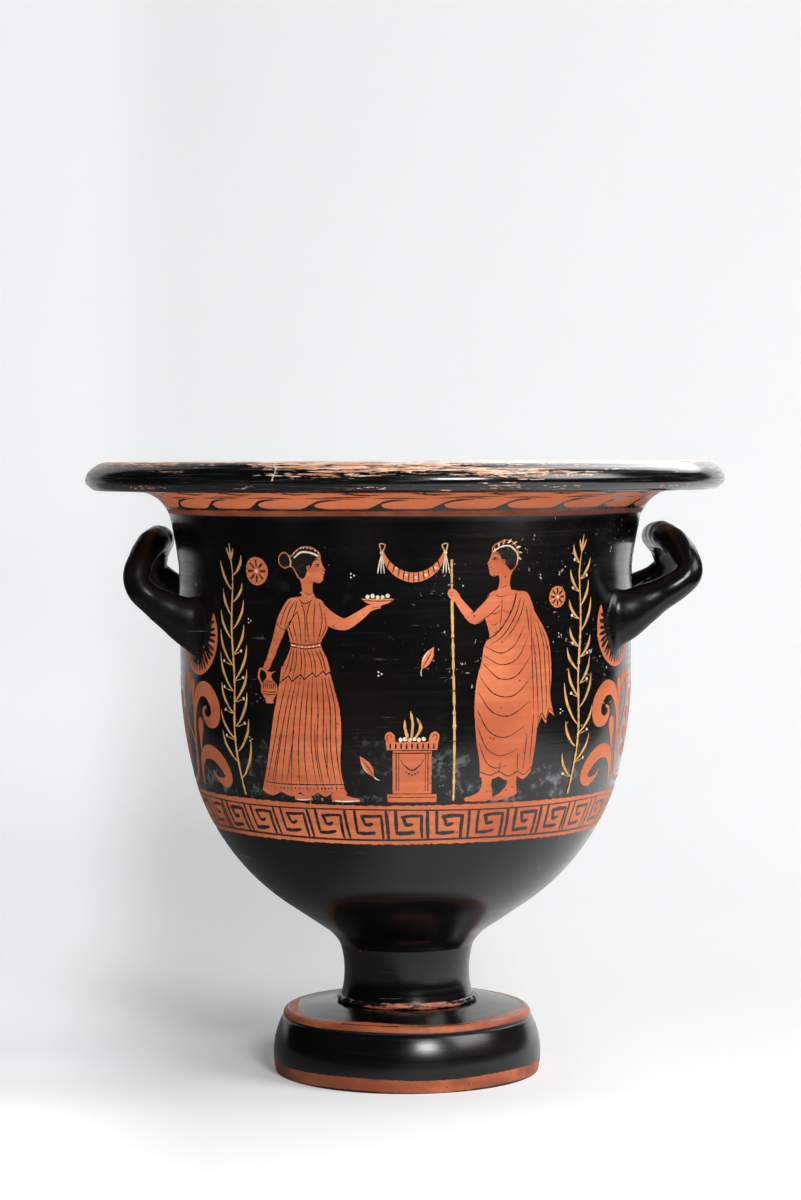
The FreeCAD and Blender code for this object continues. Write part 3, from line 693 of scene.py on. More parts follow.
def altar(at):
    """A stone altar with fruit and a small flame."""
    for low, high, bottom, top in ((0, 4.2, 13.5, 13.5), (4.6, 27, 10.6, 10.2), (27.4, 31.6, 13.2, 13.8)):
        at.patch(CLAY, [(-bottom, low, 1), (bottom, low, 1), (top, high, 1), (-top, high, 1)])
    for side in (-1, 1):
        at.patch(CLAY, [(side * 13.6, 31.4, 1), (side * 14.2, 35.2), (side * 11.6, 37), (side * 9.2, 35),
                        (side * 8.6, 31.4, 1)])
        at.stroke(INK, [(side * 12.6, 32.4), (side * 13, 34.8), (side * 11.4, 35.6), (side * 10.6, 34.2),
                        (side * 11.6, 33.6)], 0.45)
        at.stroke(INK, [(side * 8.6, 6), (side * 8.4, 25.6)], 0.5, 0.9, 0.9)
        at.stroke(INK, [(side * 7.2, 6), (side * 7, 25.6)], 0.35, 0.9, 0.9)
    at.stroke(INK, [(-12.8, 2.6), (12.8, 2.6)], 0.4, 1, 1)
    at.stroke(INK, [(-10, 25.8), (10, 25.8)], 0.5, 1, 1)
    for k in range(9):
        at.stroke(INK, [(-11.4 + 2.85 * k, 28.2), (-11.4 + 2.85 * k, 30.6)], 0.9, 0.9, 0.9)
    at.stroke(INK, [(-4.8, 20), (0, 16.8), (4.8, 20)], 0.7, 0.6, 0.6)
    at.stroke(INK, [(-4.8, 20), (-6.2, 22.6)], 0.5)
    at.stroke(INK, [(4.8, 20), (6.2, 22.6)], 0.5)
    at.dots(INK, [(-3, 15.8), (0, 14.4), (3, 15.8)], 1.6, 0.5)
    for k in range(6):
        at.dot(WHITE, -6 + 2.4 * k, 32.8 + 0.4 * (k % 2), 1.15)
    for lean, tall in ((-3.4, 9), (-0.4, 13.5), (2.8, 10)):
        at.stroke(YELLOW, [(lean * 0.7, 34.2), (lean * 1.3 + 0.8, 34.2 + tall * 0.5),
                           (lean - 0.4, 34.2 + tall)], 1.5, 0.8, 0.1)


def sapling(at, tall):
    """A young laurel tree in added colour, its leaves long and its berries white."""
    trunk = [(0, 0), (-1.4, tall * 0.22), (0.9, tall * 0.45), (-0.9, tall * 0.7), (0.4, tall * 0.88),
             (0, tall)]
    at.stroke(YELLOW, trunk, 1.4, 1, 0.4, 0.2)
    level = 9
    side = 1
    while level < tall - 4:
        share = level / tall
        reach = (12.5 - 4.5 * share) * hand.uniform(0.85, 1.15)
        rise = hand.uniform(0.8, 1.25)
        root = (0.3 * side, level)
        leaf_line = [root + (0.5,), (side * reach * 0.36, level + reach * 0.26 * rise, 1.1),
                     (side * reach * 0.72, level + reach * 0.74 * rise, 1.75),
                     (side * reach * 0.86, level + reach * 1.12 * rise, 1.1),
                     (side * reach * 0.9, level + reach * 1.42 * rise, 0.25)]
        at.limb(YELLOW, leaf_line)
        if hand.random() < 0.55:
            at.stroke(YELLOW, [root, (side * reach * 0.34, level + 0.6), (side * reach * 0.6, level + 1.6)],
                      0.45)
            at.dot(WHITE, side * reach * 0.66, level + 2, 0.85)
        level += hand.uniform(5.2, 8.6)
        side = -side
    for lean in (-2.6, 0.2, 2.8):
        at.limb(YELLOW, [(0, tall - 3, 0.5), (lean * 0.6, tall + 1, 1.3),
                         (lean, tall + 6.5 - abs(lean), 0.3)])


def polar(radius, angle):
    return radius * cos(angle), radius * sin(angle)


def rosette(at, radius):
    """A round flower with eight petals and beads round its edge."""
    at.patch(CLAY, [polar(radius, a * tau / 14) for a in range(14)])
    for k in range(8):
        angle = k * tau / 8
        at.stroke(INK, [polar(0.3 * radius, angle), polar(0.78 * radius, angle)], 1, 0.5, 0.9)
        at.dot(YELLOW, *polar(0.62 * radius, angle + 0.39), 0.55)
    at.dot(WHITE, 0, 0, 0.16 * radius)
    for k in range(16):
        at.dot(YELLOW, *polar(0.93 * radius, k * tau / 16), 0.4)


def garland(at):
    """A woollen garland hanging in a slack curve, tied and tasselled at its ends."""
    drape = [(-16, 4.4, 1.6), (-13, -1.6, 3), (-7.4, -6.6, 4.4), (0, -8.6, 5), (7.4, -6.6, 4.4),
             (13, -1.6, 3), (16, 4.4, 1.6)]
    at.limb(CLAY, drape)
    for k in range(11):
        share = (k - 5) / 5
        x = 12.6 * share
        y = -8.6 + 7.4 * share * share
        at.stroke(INK, [(x - 0.75 * share, y + 2.2), (x + 0.75 * share, y - 2.2)], 0.55, 0.9, 0.9)
        if k % 2:
            at.dot(WHITE, x + 1.2, y, 0.75)
    for side in (-1, 1):
        for lean in (-1.7, 0, 1.7):
            at.stroke(WHITE, [(side * 16, 3.6), (side * 16.4 + lean * 0.6, -1.6),
                              (side * 16.6 + lean, -6.4)], 0.6, 1, 0.6)
        at.stroke(YELLOW, [(side * 16, 4), (side * 14.2, 8), (side * 17, 8.6), (side * 16, 4)], 0.6, 1, 1)
        at.dot(WHITE, side * 16, 4.2, 1)


def leaf(at, lean):
    """A single laurel leaf with its midrib and stalk, leaning by an angle."""
    c = cos(lean)
    s = sin(lean)

    def turned(x, y, *corner):
        return (c * x - s * y, s * x + c * y) + corner

    at.patch(CLAY, [
        turned(0, -6.4, 1), turned(1.9, -3), turned(2.3, 0.4), turned(1.5, 3.6), turned(0, 6.6, 1),
        turned(-1.5, 3.6), turned(-2.3, 0.4), turned(-1.9, -3)])
    at.stroke(INK, [turned(0, -5.2), turned(0.25, 0), turned(0, 4.6)], 0.5)
    at.stroke(WHITE, [turned(0, -6.2), turned(0.5, -8.2), turned(1.7, -9.6)], 0.55)
    at.stroke(WHITE, [turned(-1.2, 3.6), turned(-1.9, 0.4), turned(-1.5, -2.8)], 0.4)


def specks(at, count, wide, tall):
    """Small groups of three white dots, scattered in a field."""
    for _ in range(count):
        x = hand.uniform(-wide, wide)
        y = hand.uniform(0, tall)
        for k in range(3):
            at.dot(WHITE, x + 1.1 * cos(k * 2.1), y + 1.1 * sin(k * 2.1), 0.42)


def front_scene(ground):
    """A libation at an altar, between two laurel saplings."""
    woman(Place(-53, ground, 1))
    youth(Place(54, ground, 1, True))
    altar(Place(3, ground - 0.6))
    sapling(Place(-101, ground), 126)
    sapling(Place(101.5, ground, 1, True), 130)
    garland(Place(4, ground + 124))
    rosette(Place(-83, ground + 118), 7.4)
    rosette(Place(85, ground + 104), 5.6)
    leaf(Place(-21, ground + 18), 0.6)
    leaf(Place(11, ground + 74), -0.5)
    for across, up in ((-28, 116), (-88, 92), (86, 84), (-14, 66), (88, 44), (-90, 30)):
        specks(Place(across, ground + up), 1, 0.5, 0.5)


def back_scene(ground):
    """Two youths in mantles, facing each other."""
    middle = HALF_ROUND
    youth(Place(middle - 46, ground, 0.98), False)
    youth(Place(middle + 46, ground, 0.98, True), False)
    garland(Place(middle + 2, ground + 122))
    rosette(Place(middle - 82, ground + 104), 6)
    rosette(Place(middle + 82, ground + 104), 6)
    leaf(Place(middle, ground + 20), 0.3)
    sapling(Place(middle - 101, ground), 120)
    sapling(Place(middle + 101, ground, 1, True), 120)


# Mesh building

def on_wall(across, up, lift):
    """A point of the drawing laid on the pot, lifted along the normal, in metres."""
    angle = across / WALL_RADIUS
    grow = slope_at(up)
    length = hypot(1.0, grow)
    radius = radius_at(up) + lift / length
    height = up - lift * grow / length
    place = (radius * sin(angle) * MM, -radius * cos(angle) * MM, height * MM)
    normal = (sin(angle) / length, -cos(angle) / length, -grow / length)
    return place, normal


# Heights beyond which the pot's outline turns so fast that paint needs fine steps
CURVED_ABOVE = 305.5
CURVED_BELOW = 40.0
FINE = 0.5


def fine_steps(across, up, middle):
    """How many parts a stretch needs to follow the wall's curve."""
    limit = FINE if middle > CURVED_ABOVE or middle < CURVED_BELOW else 2.4
    return max(1, ceil(abs(across) / 2.6), ceil(abs(up) / limit))


def finely(line):
    out = []
    for here, there in zip(line, line[1:] + line[:1]):
        parts = fine_steps(there[0] - here[0], there[1] - here[1], here[1])
        for k in range(parts):
            out.append((mix(here[0], there[0], k / parts), mix(here[1], there[1], k / parts)))
    return out


def patch_mesh(line):
    """Flat triangles that fill an outline, fine enough to bend round the pot."""
    edge = [Vector(p) for p in finely(line)]
    low_x = min(p[0] for p in line)
    high_x = max(p[0] for p in line)
    low_y = min(p[1] for p in line)
    high_y = max(p[1] for p in line)
    inner = []
    step_x = 2.9
    step_y = 0.6 if high_y > CURVED_ABOVE else 2.6
    if high_x - low_x > 3.0 and high_y - low_y > 1.2:
        rows = int((high_y - low_y) / step_y)
        columns = int((high_x - low_x) / step_x)
        for row in range(1, rows + 1):
            for column in range(1, columns + 1):
                inner.append(Vector((low_x + column * step_x + (row % 2) * 1.1 - 0.5,
                                     low_y + row * step_y - 0.4)))
    points, _, faces, _, _, _ = delaunay_2d_cdt(edge + inner, [], [list(range(len(edge)))], 1, 1e-5)
    return [(p[0], p[1]) for p in points], [tuple(f) for f in faces]


def ribbon_mesh(line, widths):
    """Quads along a brush line, with rounded ends."""
    points = []
    faces = []
    rows = []
    last = len(line) - 1
    closed = dist(line[0], line[-1]) > 2 * HALF_ROUND - 1
    for i, here in enumerate(line):
        before = line[max(0, i - 1)]
        after = line[min(last, i + 1)]
        dx, dy = heading(before, after)
        rows.append((here, (-dy, dx), (dx, dy), widths[i] * 0.5))
    across = max(1, max(fine_steps(row[1][0] * row[3] * 2, row[1][1] * row[3] * 2,
            row[0][1]) for row in rows))
    if not closed:
        for end, side in ((0, -1.0), (-1, 1.0)):
            here, normal, along, half = rows[end]
            cap = ((here[0] + along[0] * side * half * 0.6, here[1] + along[1] * side * half * 0.6), normal,
                   along, half * 0.45)
            if end == 0:
                rows.insert(0, cap)
            else:
                rows.append(cap)
    for here, normal, along, half in rows:
        for k in range(across + 1):
            offset = mix(-half, half, k / across)
            points.append((here[0] + normal[0] * offset, here[1] + normal[1] * offset))
    wide = across + 1
    for i in range(len(rows) - 1):
        for k in range(across):
            a = i * wide + k
            faces.append((a, a + wide, a + wide + 1, a + 1))
    return points, faces


def new_object(name, points, faces, normals=None, materials=(), indices=None):
    mesh = bpy.data.meshes.new(name)
    mesh.from_pydata(points, [], faces)
    for material in materials:
        mesh.materials.append(material)
    if indices:
        mesh.polygons.foreach_set("material_index", indices)
    mesh.polygons.foreach_set("use_smooth", [True] * len(mesh.polygons))
    mesh.update()
    if normals:
        mesh.normals_split_custom_set_from_vertices(normals)
    thing = bpy.data.objects.new(name, mesh)
    bpy.context.scene.collection.objects.link(thing)
    return thing


def painted(name, paint, material):
    """All shapes of one paint as one thin skin on the pot."""
    points = []
    normals = []
    faces = []
    for (colour, lift), kind, line, widths in shapes:
        if colour != paint:
            continue
        flat, cells = patch_mesh(line) if kind == "patch" else ribbon_mesh(line, widths)
        first = len(points)
        for across, up in flat:
            place, normal = on_wall(across, up, lift)
            points.append(place)
            normals.append(normal)
        for cell in cells:
            a, b, c = (flat[i] for i in cell[:3])
            turn = (b[0] - a[0]) * (c[1] - a[1]) - (b[1] - a[1]) * (c[0] - a[0])
            cell = [first + i for i in cell]
            faces.append(cell if turn > 0 else cell[::-1])
    return new_object(name, points, faces, normals, [material])


def lathe(name, profile, materials, segments=320, which=None, ripple=None):
    """A turned surface; the profile may be closed or open."""
    closed = dist(profile[0], profile[-1]) < 1e-6
    rings = profile[:-1] if closed else profile
    points = []
    starts = []
    for number, (radius, height) in enumerate(rings):
        starts.append(len(points))
        if radius < 1e-6:
            points.append((0.0, 0.0, height * MM))
            continue
        for k in range(segments):
            angle = tau * k / segments
            extra_r, extra_z = ripple(angle, number) if ripple else (0.0, 0.0)
            points.append(((radius + extra_r) * MM * cos(angle), (radius + extra_r) * MM * sin(angle),
                           (height + extra_z) * MM))
    faces = []
    indices = []
    count = len(rings)
    for i in range(count if closed else count - 1):
        j = (i + 1) % count
        for k in range(segments):
            m = (k + 1) % segments
            if rings[i][0] < 1e-6:
                cell = (starts[i], starts[j] + m, starts[j] + k)
            elif rings[j][0] < 1e-6:
                cell = (starts[i] + k, starts[i] + m, starts[j])
            else:
                cell = (starts[i] + k, starts[i] + m, starts[j] + m, starts[j] + k)
            faces.append(cell)
            indices.append(which(i) if which else 0)
    thing = new_object(name, points, faces, None, materials, indices)
    sharp_edges(thing, CRISP)
    return thing


CRISP = 32


def sharp_edges(thing, degrees):
    """Marks edges that turn by more than an angle, so that they stay crisp."""
    mesh = thing.data
    faces_of = {}
    for polygon in mesh.polygons:
        for key in polygon.edge_keys:
            faces_of.setdefault(key, []).append(polygon.normal)
    limit = cos(radians(degrees))
    for edge in mesh.edges:
        pair = faces_of.get(tuple(sorted(edge.vertices)), [])
        edge.use_edge_sharp = len(pair) == 2 and pair[0].dot(pair[1]) < limit


# Handles

def spline_point(controls, share):
    """A point of the uniform cubic B-spline in one stretch of four controls."""
    t = share
    weights = ((1 - t) ** 3 / 6, (3 * t ** 3 - 6 * t * t + 4) / 6,
               (-3 * t ** 3 + 3 * t * t + 3 * t + 1) / 6, t ** 3 / 6)
    return [sum(w * p[i] for w, p in zip(weights, controls)) for i in range(len(controls[0]))]


def spline(points, parts):
    """The spline through a whole line of controls, kept to its first and last."""
    first = [2 * a - b for a, b in zip(points[0], points[1])]
    final = [2 * a - b for a, b in zip(points[-1], points[-2])]
    row = [first] + points + [final]
    line = []
    for i in range(len(points) - 1):
        for k in range(parts):
            line.append(spline_point(row[i:i + 4], k / parts))
    return line + [list(points[-1])]


def unit(v):
    length = sqrt(sum(c * c for c in v))
    return [c / length for c in v]


def dot(a, b):
    return sum(p * q for p, q in zip(a, b))


def cross(a, b):
    return [a[1] * b[2] - a[2] * b[1], a[2] * b[0] - a[0] * b[2], a[0] * b[1] - a[1] * b[0]]


# The coil's middle line from the wall to the middle of the loop: share of the
# half span, way out, outward swing, curl back, rise and drop of the root, then
# half height and half width.
ARM = ((1.0, -0.26, 0.0, 0.0, -0.08, 1.0, 15.8, 9.2), (1.0, 0.0, 0.0, 0.0, 0.0, 1.0, 14.4, 8.4),
       (1.0, 0.30, 0.0, 0.0, 0.12, 0.45, 10.9, 7.9), (1.0, 0.61, 0.0, 0.0, 0.26, 0.0, 8.6, 7.4),
       (0.99, 0.87, 0.2, -0.02, 0.4, 0.0, 7.5, 7.1), (0.95, 1.0, 0.6, 0.04, 0.56, 0.0, 7.2, 7.0),
       (0.88, 1.0, 1.0, 0.24, 0.73, 0.0, 7.2, 7.0), (0.74, 1.0, 0.8, 0.54, 0.89, 0.0, 7.2, 7.1),
       (0.5, 1.0, 0.4, 0.86, 0.99, 0.0, 7.3, 7.3), (0.25, 1.0, 0.2, 1.0, 1.02, 0.0, 7.4, 7.4),
       (0.0, 1.0, 0.0, 1.04, 1.03, 0.0, 7.4, 7.4))
# Side, half span, root height, rise, reach from the pot's axis, curl, swing and
# root drop, then how far the arm behind stands in and up from the one in front.
COILS = {"left": (-1, 54.0, 248.3, 43.6, 144.6, 8.2, 0.2, 0.0, 1.5, 6.5),
         "right": (1, 51.5, 254.4, 39.4, 152.5, 11.5, 1.2, 3.6, 4.0, 0.5)}
FILLET = 4.5
SUNK = 2.5
AROUND = 56
ALONG = 12


def handle_rings(side):
    """Rings round the coil from root to root, in millimetres."""
    turned, half_span, root, rise, reach, curl, swing, drop, inward, lifted = COILS[side]
    root_x = sqrt(WALL_RADIUS ** 2 - half_span ** 2)
    arms = ([], [])
    for along, out, swung, back, up, dropped, tall, wide in ARM:
        x = mix(root_x, reach, out) + swing * swung - curl * back
        z = root + rise * up - drop * dropped
        arms[0].append([x, -half_span * along, z, tall, wide])
        far = min(1.0, along * 2.5)
        raised = lifted * far * (0.4 + 0.6 * max(0.0, out)) * min(1.0, 1.1 - up)
        arms[1].append([x - inward * far * max(0.0, out), half_span * along, z + raised, tall, wide])
    arm, far = arms[0], arms[1][-2::-1]
    line = spline(arm + far, ALONG)
    rings = []
    upright = [0.0, 0.0, 1.0]
    travelled = 0.0
    for i, (x, y, z, tall, wide) in enumerate(line):
        before = line[max(0, i - 1)]
        after = line[min(len(line) - 1, i + 1)]
        ahead = unit([after[k] - before[k] for k in range(3)])
        lean = dot(ahead, upright)
        upright = unit([u - lean * a for u, a in zip(upright, ahead)])
        sideways = cross(ahead, upright)
        travelled += dist(before[:3], (x, y, z))
        wobble = 0.14 * sin(travelled * 0.21 + root) + 0.10 * sin(travelled * 0.47)
        ring = []
        for k in range(AROUND):
            angle = tau * k / AROUND
            up = cos(angle)
            over = sin(angle)
            soft = wobble + 0.10 * sin(2 * angle + travelled * 0.1)
            reach_up = tall + soft
            reach_over = wide + soft
            point = [n + upright[j] * up * reach_up + sideways[j] * over * reach_over for j,
                     n in enumerate((x, y, z))]
            gap = hypot(point[0], point[1]) - radius_at(point[2])
            if gap < FILLET:
                rest = max(0.0, gap) / FILLET
                swell = FILLET * 0.72 * (1 - sqrt(1 - (1 - rest) ** 2))
                point = [p + (upright[j] * up + sideways[j] * over) * swell for j, p in enumerate(point)]
                gap = hypot(point[0], point[1]) - radius_at(point[2])
            if gap < -SUNK:
                flat = hypot(point[0], point[1])
                share = (radius_at(point[2]) - SUNK) / flat
                point = [point[0] * share, point[1] * share, point[2]]
            ring.append((turned * point[0], point[1], point[2]))
        rings.append(ring)
    return rings


# Materials

class Look:
    """A node material with short helpers; textures sit in the pot's own space."""

    def __init__(self, name, roughness, specular=0.5):
        self.material = bpy.data.materials.new(name)
        self.material.use_nodes = True
        self.nodes = self.material.node_tree.nodes
        self.links = self.material.node_tree.links
        self.shader = self.nodes["Principled BSDF"]
        self.shader.inputs["Roughness"].default_value = roughness
        self.shader.inputs["Specular IOR Level"].default_value = specular
        self.spot = self.node("TexCoord").outputs["Object"]
        self.x, self.y, self.z = self.node("SeparateXYZ", Vector=self.spot).outputs

    def put(self, socket, source):
        """Links a socket to another one, or sets its value."""
        if hasattr(source, "links"):
            self.links.new(source, socket)
        else:
            socket.default_value = source

    def node(self, kind, **values):
        """A new shader node, its inputs set or linked by name."""
        node = self.nodes.new("ShaderNode" + kind)
        for name, value in values.items():
            self.put(node.inputs[name.replace("_", " ")], value)
        return node

    def mapped(self, kind, scale, turned=1.0, shift=(0.0, 0.0, 0.0), **values):
        """A texture in object space, drawn out round the pot by a share."""
        mapping = self.node("Mapping", Vector=self.spot, Location=shift,
                            Scale=(scale, scale, scale * turned))
        return self.node(kind, Vector=mapping.outputs["Vector"], Scale=1.0, **values)

    def noise(self, scale, detail=4.0, rough=0.55, turned=1.0, shift=(0.0, 0.0, 0.0), twist=0.0):
        return self.mapped("TexNoise", scale, turned, shift, Detail=detail, Roughness=rough,
                           Distortion=twist).outputs["Fac"]

    def math(self, operation, first, second=0.0):
        node = self.node("Math")
        node.operation = operation
        self.put(node.inputs[0], first)
        self.put(node.inputs[1], second)
        return node.outputs[0]

    def times(self, first, *others):
        for other in others:
            first = self.math("MULTIPLY", first, other)
        return first

    def plus(self, first, *others):
        for other in others:
            first = self.math("ADD", first, other)
        return first

    def weighed(self, *parts):
        """The sum of sources, each with its share."""
        return self.plus(*[self.times(source, share) for source, share in parts])

    def band(self, source, low, high, to_low=0.0, to_high=1.0):
        """A smooth step from low to high."""
        node = self.node("MapRange", Value=source, From_Min=low, From_Max=high, To_Min=to_low,
                         To_Max=to_high)
        node.interpolation_type = "SMOOTHSTEP"
        node.clamp = True
        return node.outputs["Result"]

    def mixed(self, share, first, second):
        """A colour between two colours."""
        node = self.node("Mix")
        node.data_type = "RGBA"
        self.put(node.inputs[0], share)
        for socket, colour in ((node.inputs[6], first), (node.inputs[7], second)):
            self.put(socket, colour if hasattr(colour, "links") else colour + (1.0,))
        return node.outputs[2]

    def blend(self, share, first, second):
        """A shader between two shaders."""
        node = self.node("MixShader")
        for socket, source in zip(node.inputs, (share, first, second)):
            self.put(socket, source)
        return node.outputs[0]

    def bump(self, source, distance, below=None, strength=1.0):
        node = self.node("Bump", Height=source, Distance=distance, Strength=strength)
        if below:
            self.put(node.inputs["Normal"], below)
        return node.outputs["Normal"]

    def finished(self, **values):
        """The material, with the shader's inputs set or linked by name."""
        for name, value in values.items():
            self.put(self.shader.inputs[name.replace("_", " ")], value)
        return self.material


def toned(tone, *shares):
    return tuple(c * k for c, k in zip(tone, shares))


WHEEL_MARKS = 60.0


def surface_bumps(look, lumps=0.0004, wheel=0.00003, grain=0.000008):
    """Soft unevenness, turning lines and a fine grain, the same on all paints."""
    soft = look.bump(look.noise(17.0, 2.0, 0.5), lumps)
    lines = look.bump(look.noise(9.0, 3.0, 0.6, WHEEL_MARKS), wheel, soft)
    return look.bump(look.noise(900.0, 2.0, 0.6), grain, lines)


def black_gloss(name="black_gloss", wear=True, dull=0.28, lumps=0.0004, specular=0.4, turned=WHEEL_MARKS):
    """Fired black slip: satin, with turning streaks, scratches, chips and deposits."""
    look = Look(name, 0.2, specular)
    height = look.z
    patches = look.noise(11.0, 5.0, 0.6)
    streaks = look.noise(7.0, 4.0, 0.62, 0.75 * turned, (3.0, 1.0, 2.0))
    fine = look.noise(18.0, 4.0, 0.65, turned, (2.0, 6.0, 1.0))
    colour = look.mixed(look.band(patches, 0.45, 0.75), (0.0033, 0.0031, 0.0033), (0.0075, 0.0064, 0.0058))
    colour = look.mixed(look.band(fine, 0.6, 0.74, 0.0, 0.5), colour, (0.018, 0.017, 0.018))
    gloss = look.band(look.weighed((patches, 0.4), (streaks, 0.3), (fine, 0.3)), 0.38, 0.64, 0.13, dull)
    crowd = look.noise(23.0, 3.0, 0.6, 1.3, (9.0, 4.0, 2.0))
    if wear:
        # Grey deposit, thickest just above the meander.
        zone = look.times(look.band(height, 0.157, 0.1615), look.band(height, 0.205, 0.165))
        cloud = look.band(look.plus(look.noise(36.0, 6.0, 0.7, 1.2, (5.0, 2.0, 7.0)),
                look.times(zone, 0.13)), 0.6, 0.74)
        fleck = look.band(look.noise(210.0, 3.0, 0.7, 1.0, (1.0, 8.0, 3.0)), 0.42, 0.6)
        grey = look.times(cloud, fleck, look.plus(look.times(zone, 0.75), 0.05))
        colour = look.mixed(grey, colour, (0.17, 0.18, 0.19))
        gloss = look.plus(gloss, look.times(grey, 0.35))
    scratch = look.band(look.noise(34.0, 3.0, 0.55, 15.0, (7.0, 7.0, 1.0), 0.3), 0.685, 0.71)
    scratch = look.times(scratch, look.band(crowd, 0.47, 0.6, 0.0, 0.4))
    colour = look.mixed(scratch, colour, (0.22, 0.21, 0.20))
    if wear:
        # More chips on the upper right, fewer on the bowl and the foot.
        right = look.times(look.band(look.x, 0.0, 0.09), look.band(height, 0.17, 0.2))
        crowd = look.plus(crowd, look.times(right, 0.09), look.band(height, 0.15, 0.14, 0.0, -0.09))
        olive = look.band(look.noise(19.0, 3.0, 0.6, 0.6, (6.0, 6.0, 6.0)), 0.5, 0.68, 0.0, 0.7)
        colour = look.mixed(olive, colour, (0.0062, 0.0050, 0.0030))
    for scale, low, high, bare in ((240.0, 0.69, 0.72, 0.60), (520.0, 0.685, 0.72, 0.55)):
        chip = look.band(look.noise(scale, 2.0, 0.6, 0.8, (scale * 0.01, 0.0, 0.0), 0.2), low, high)
        chip = look.times(chip, look.band(crowd, bare, bare + 0.07, 0.0, 0.8))
        colour = look.mixed(chip, colour, (0.50, 0.42, 0.35))
        gloss = look.plus(gloss, look.times(chip, 0.3))
    below = surface_bumps(look, lumps, 0.0000005 * turned)
    if not wear:
        below = look.bump(look.noise(70.0, 3.0, 0.55), 0.0002, below)
    return look.finished(Base_Color=colour, Roughness=gloss, Normal=below)


def red_clay():
    """Reserved clay: warm, slightly polished, clouded and brushed along the wheel."""
    look = Look("red_clay", 0.5, 0.25)
    tone = (0.56, 0.148, 0.061)
    height = look.z
    cloud = look.noise(14.0, 5.0, 0.6, 1.0, (2.0, 7.0, 1.0))
    brushed = look.noise(10.0, 4.0, 0.6, 38.0, (8.0, 3.0, 4.0))
    grain = look.noise(420.0, 3.0, 0.65)
    dark_blotches = look.noise(34.0, 5.0, 0.65, 1.6, (0.0, 5.0, 2.0))
    share = look.weighed((cloud, 0.72), (brushed, 0.28))
    colour = look.mixed(look.band(share, 0.34, 0.66), toned(tone, 0.72, 0.62, 0.6),
                        toned(tone, 1.16, 1.28, 1.34))
    colour = look.mixed(look.band(grain, 0.62, 0.78, 0.0, 0.45), colour, toned(tone, 0.35, 0.35, 0.35))
    cells = look.mapped("TexVoronoi", 230.0).outputs
    pits = look.times(look.band(cells["Distance"], 0.2, 0.1),
                      look.math("GREATER_THAN", cells["Color"], 0.7))
    colour = look.mixed(look.times(pits, 0.7), colour, (0.05, 0.03, 0.022))
    # Darker in patches on the foot; painted shade on the reserved line under the lip's overhang; painted
    # light on the laurel band above it.
    line = look.times(look.band(height, 0.3065, 0.3071), look.band(height, 0.3112, 0.3106))
    foot_dark_and_line_shade = look.plus(look.times(look.band(height, 0.05, 0.036), look.band(dark_blotches, 0.36, 0.62, 0.3, 0.75)),
                       look.times(line, look.band(dark_blotches, 0.36, 0.62, 0.55, 0.9)))
    colour = look.mixed(foot_dark_and_line_shade, colour, toned(tone, 0.30, 0.28, 0.30))
    # Painted light: the clay of the laurel band is made brighter.
    laurel_painted_light = look.times(look.band(height, 0.3112, 0.3118), look.band(share, 0.3, 0.6, 0.6, 1.0))
    colour = look.mixed(laurel_painted_light, colour, toned(tone, 1.3, 1.32, 1.34))
    return look.finished(Base_Color=colour, Roughness=look.band(brushed, 0.35, 0.65, 0.42, 0.6),
                         Normal=surface_bumps(look, grain=0.00005))


def slip_line():
    """The black lines drawn on the clay, thinner than the ground and a little worn."""
    look = Look("painted_line", 0.3)
    worn = look.noise(240.0, 4.0, 0.7)
    patches = look.noise(32.0, 3.0, 0.6)
    share = look.times(look.band(worn, 0.55, 0.74), look.band(patches, 0.42, 0.66, 0.05, 0.7))
    return look.finished(Base_Color=look.mixed(share, (0.011, 0.0095, 0.009), (0.16, 0.06, 0.035)),
                         Roughness=look.band(worn, 0.4, 0.7, 0.2, 0.42), Normal=surface_bumps(look))


def added_paint(name, tone, under):
    """Thick added colour, chalky and flaking."""
    look = Look(name, 0.7, 0.25)
    flakes = look.noise(330.0, 4.0, 0.7)
    clouds = look.noise(60.0, 3.0, 0.6)
    colour = look.mixed(look.band(clouds, 0.35, 0.7), tone, toned(tone, 0.72, 0.72, 0.72))
    colour = look.mixed(look.band(flakes, 0.56, 0.66, 0.0, 0.85), colour, under)
    return look.finished(Base_Color=colour, Normal=look.bump(flakes, 0.00012, surface_bumps(look)))


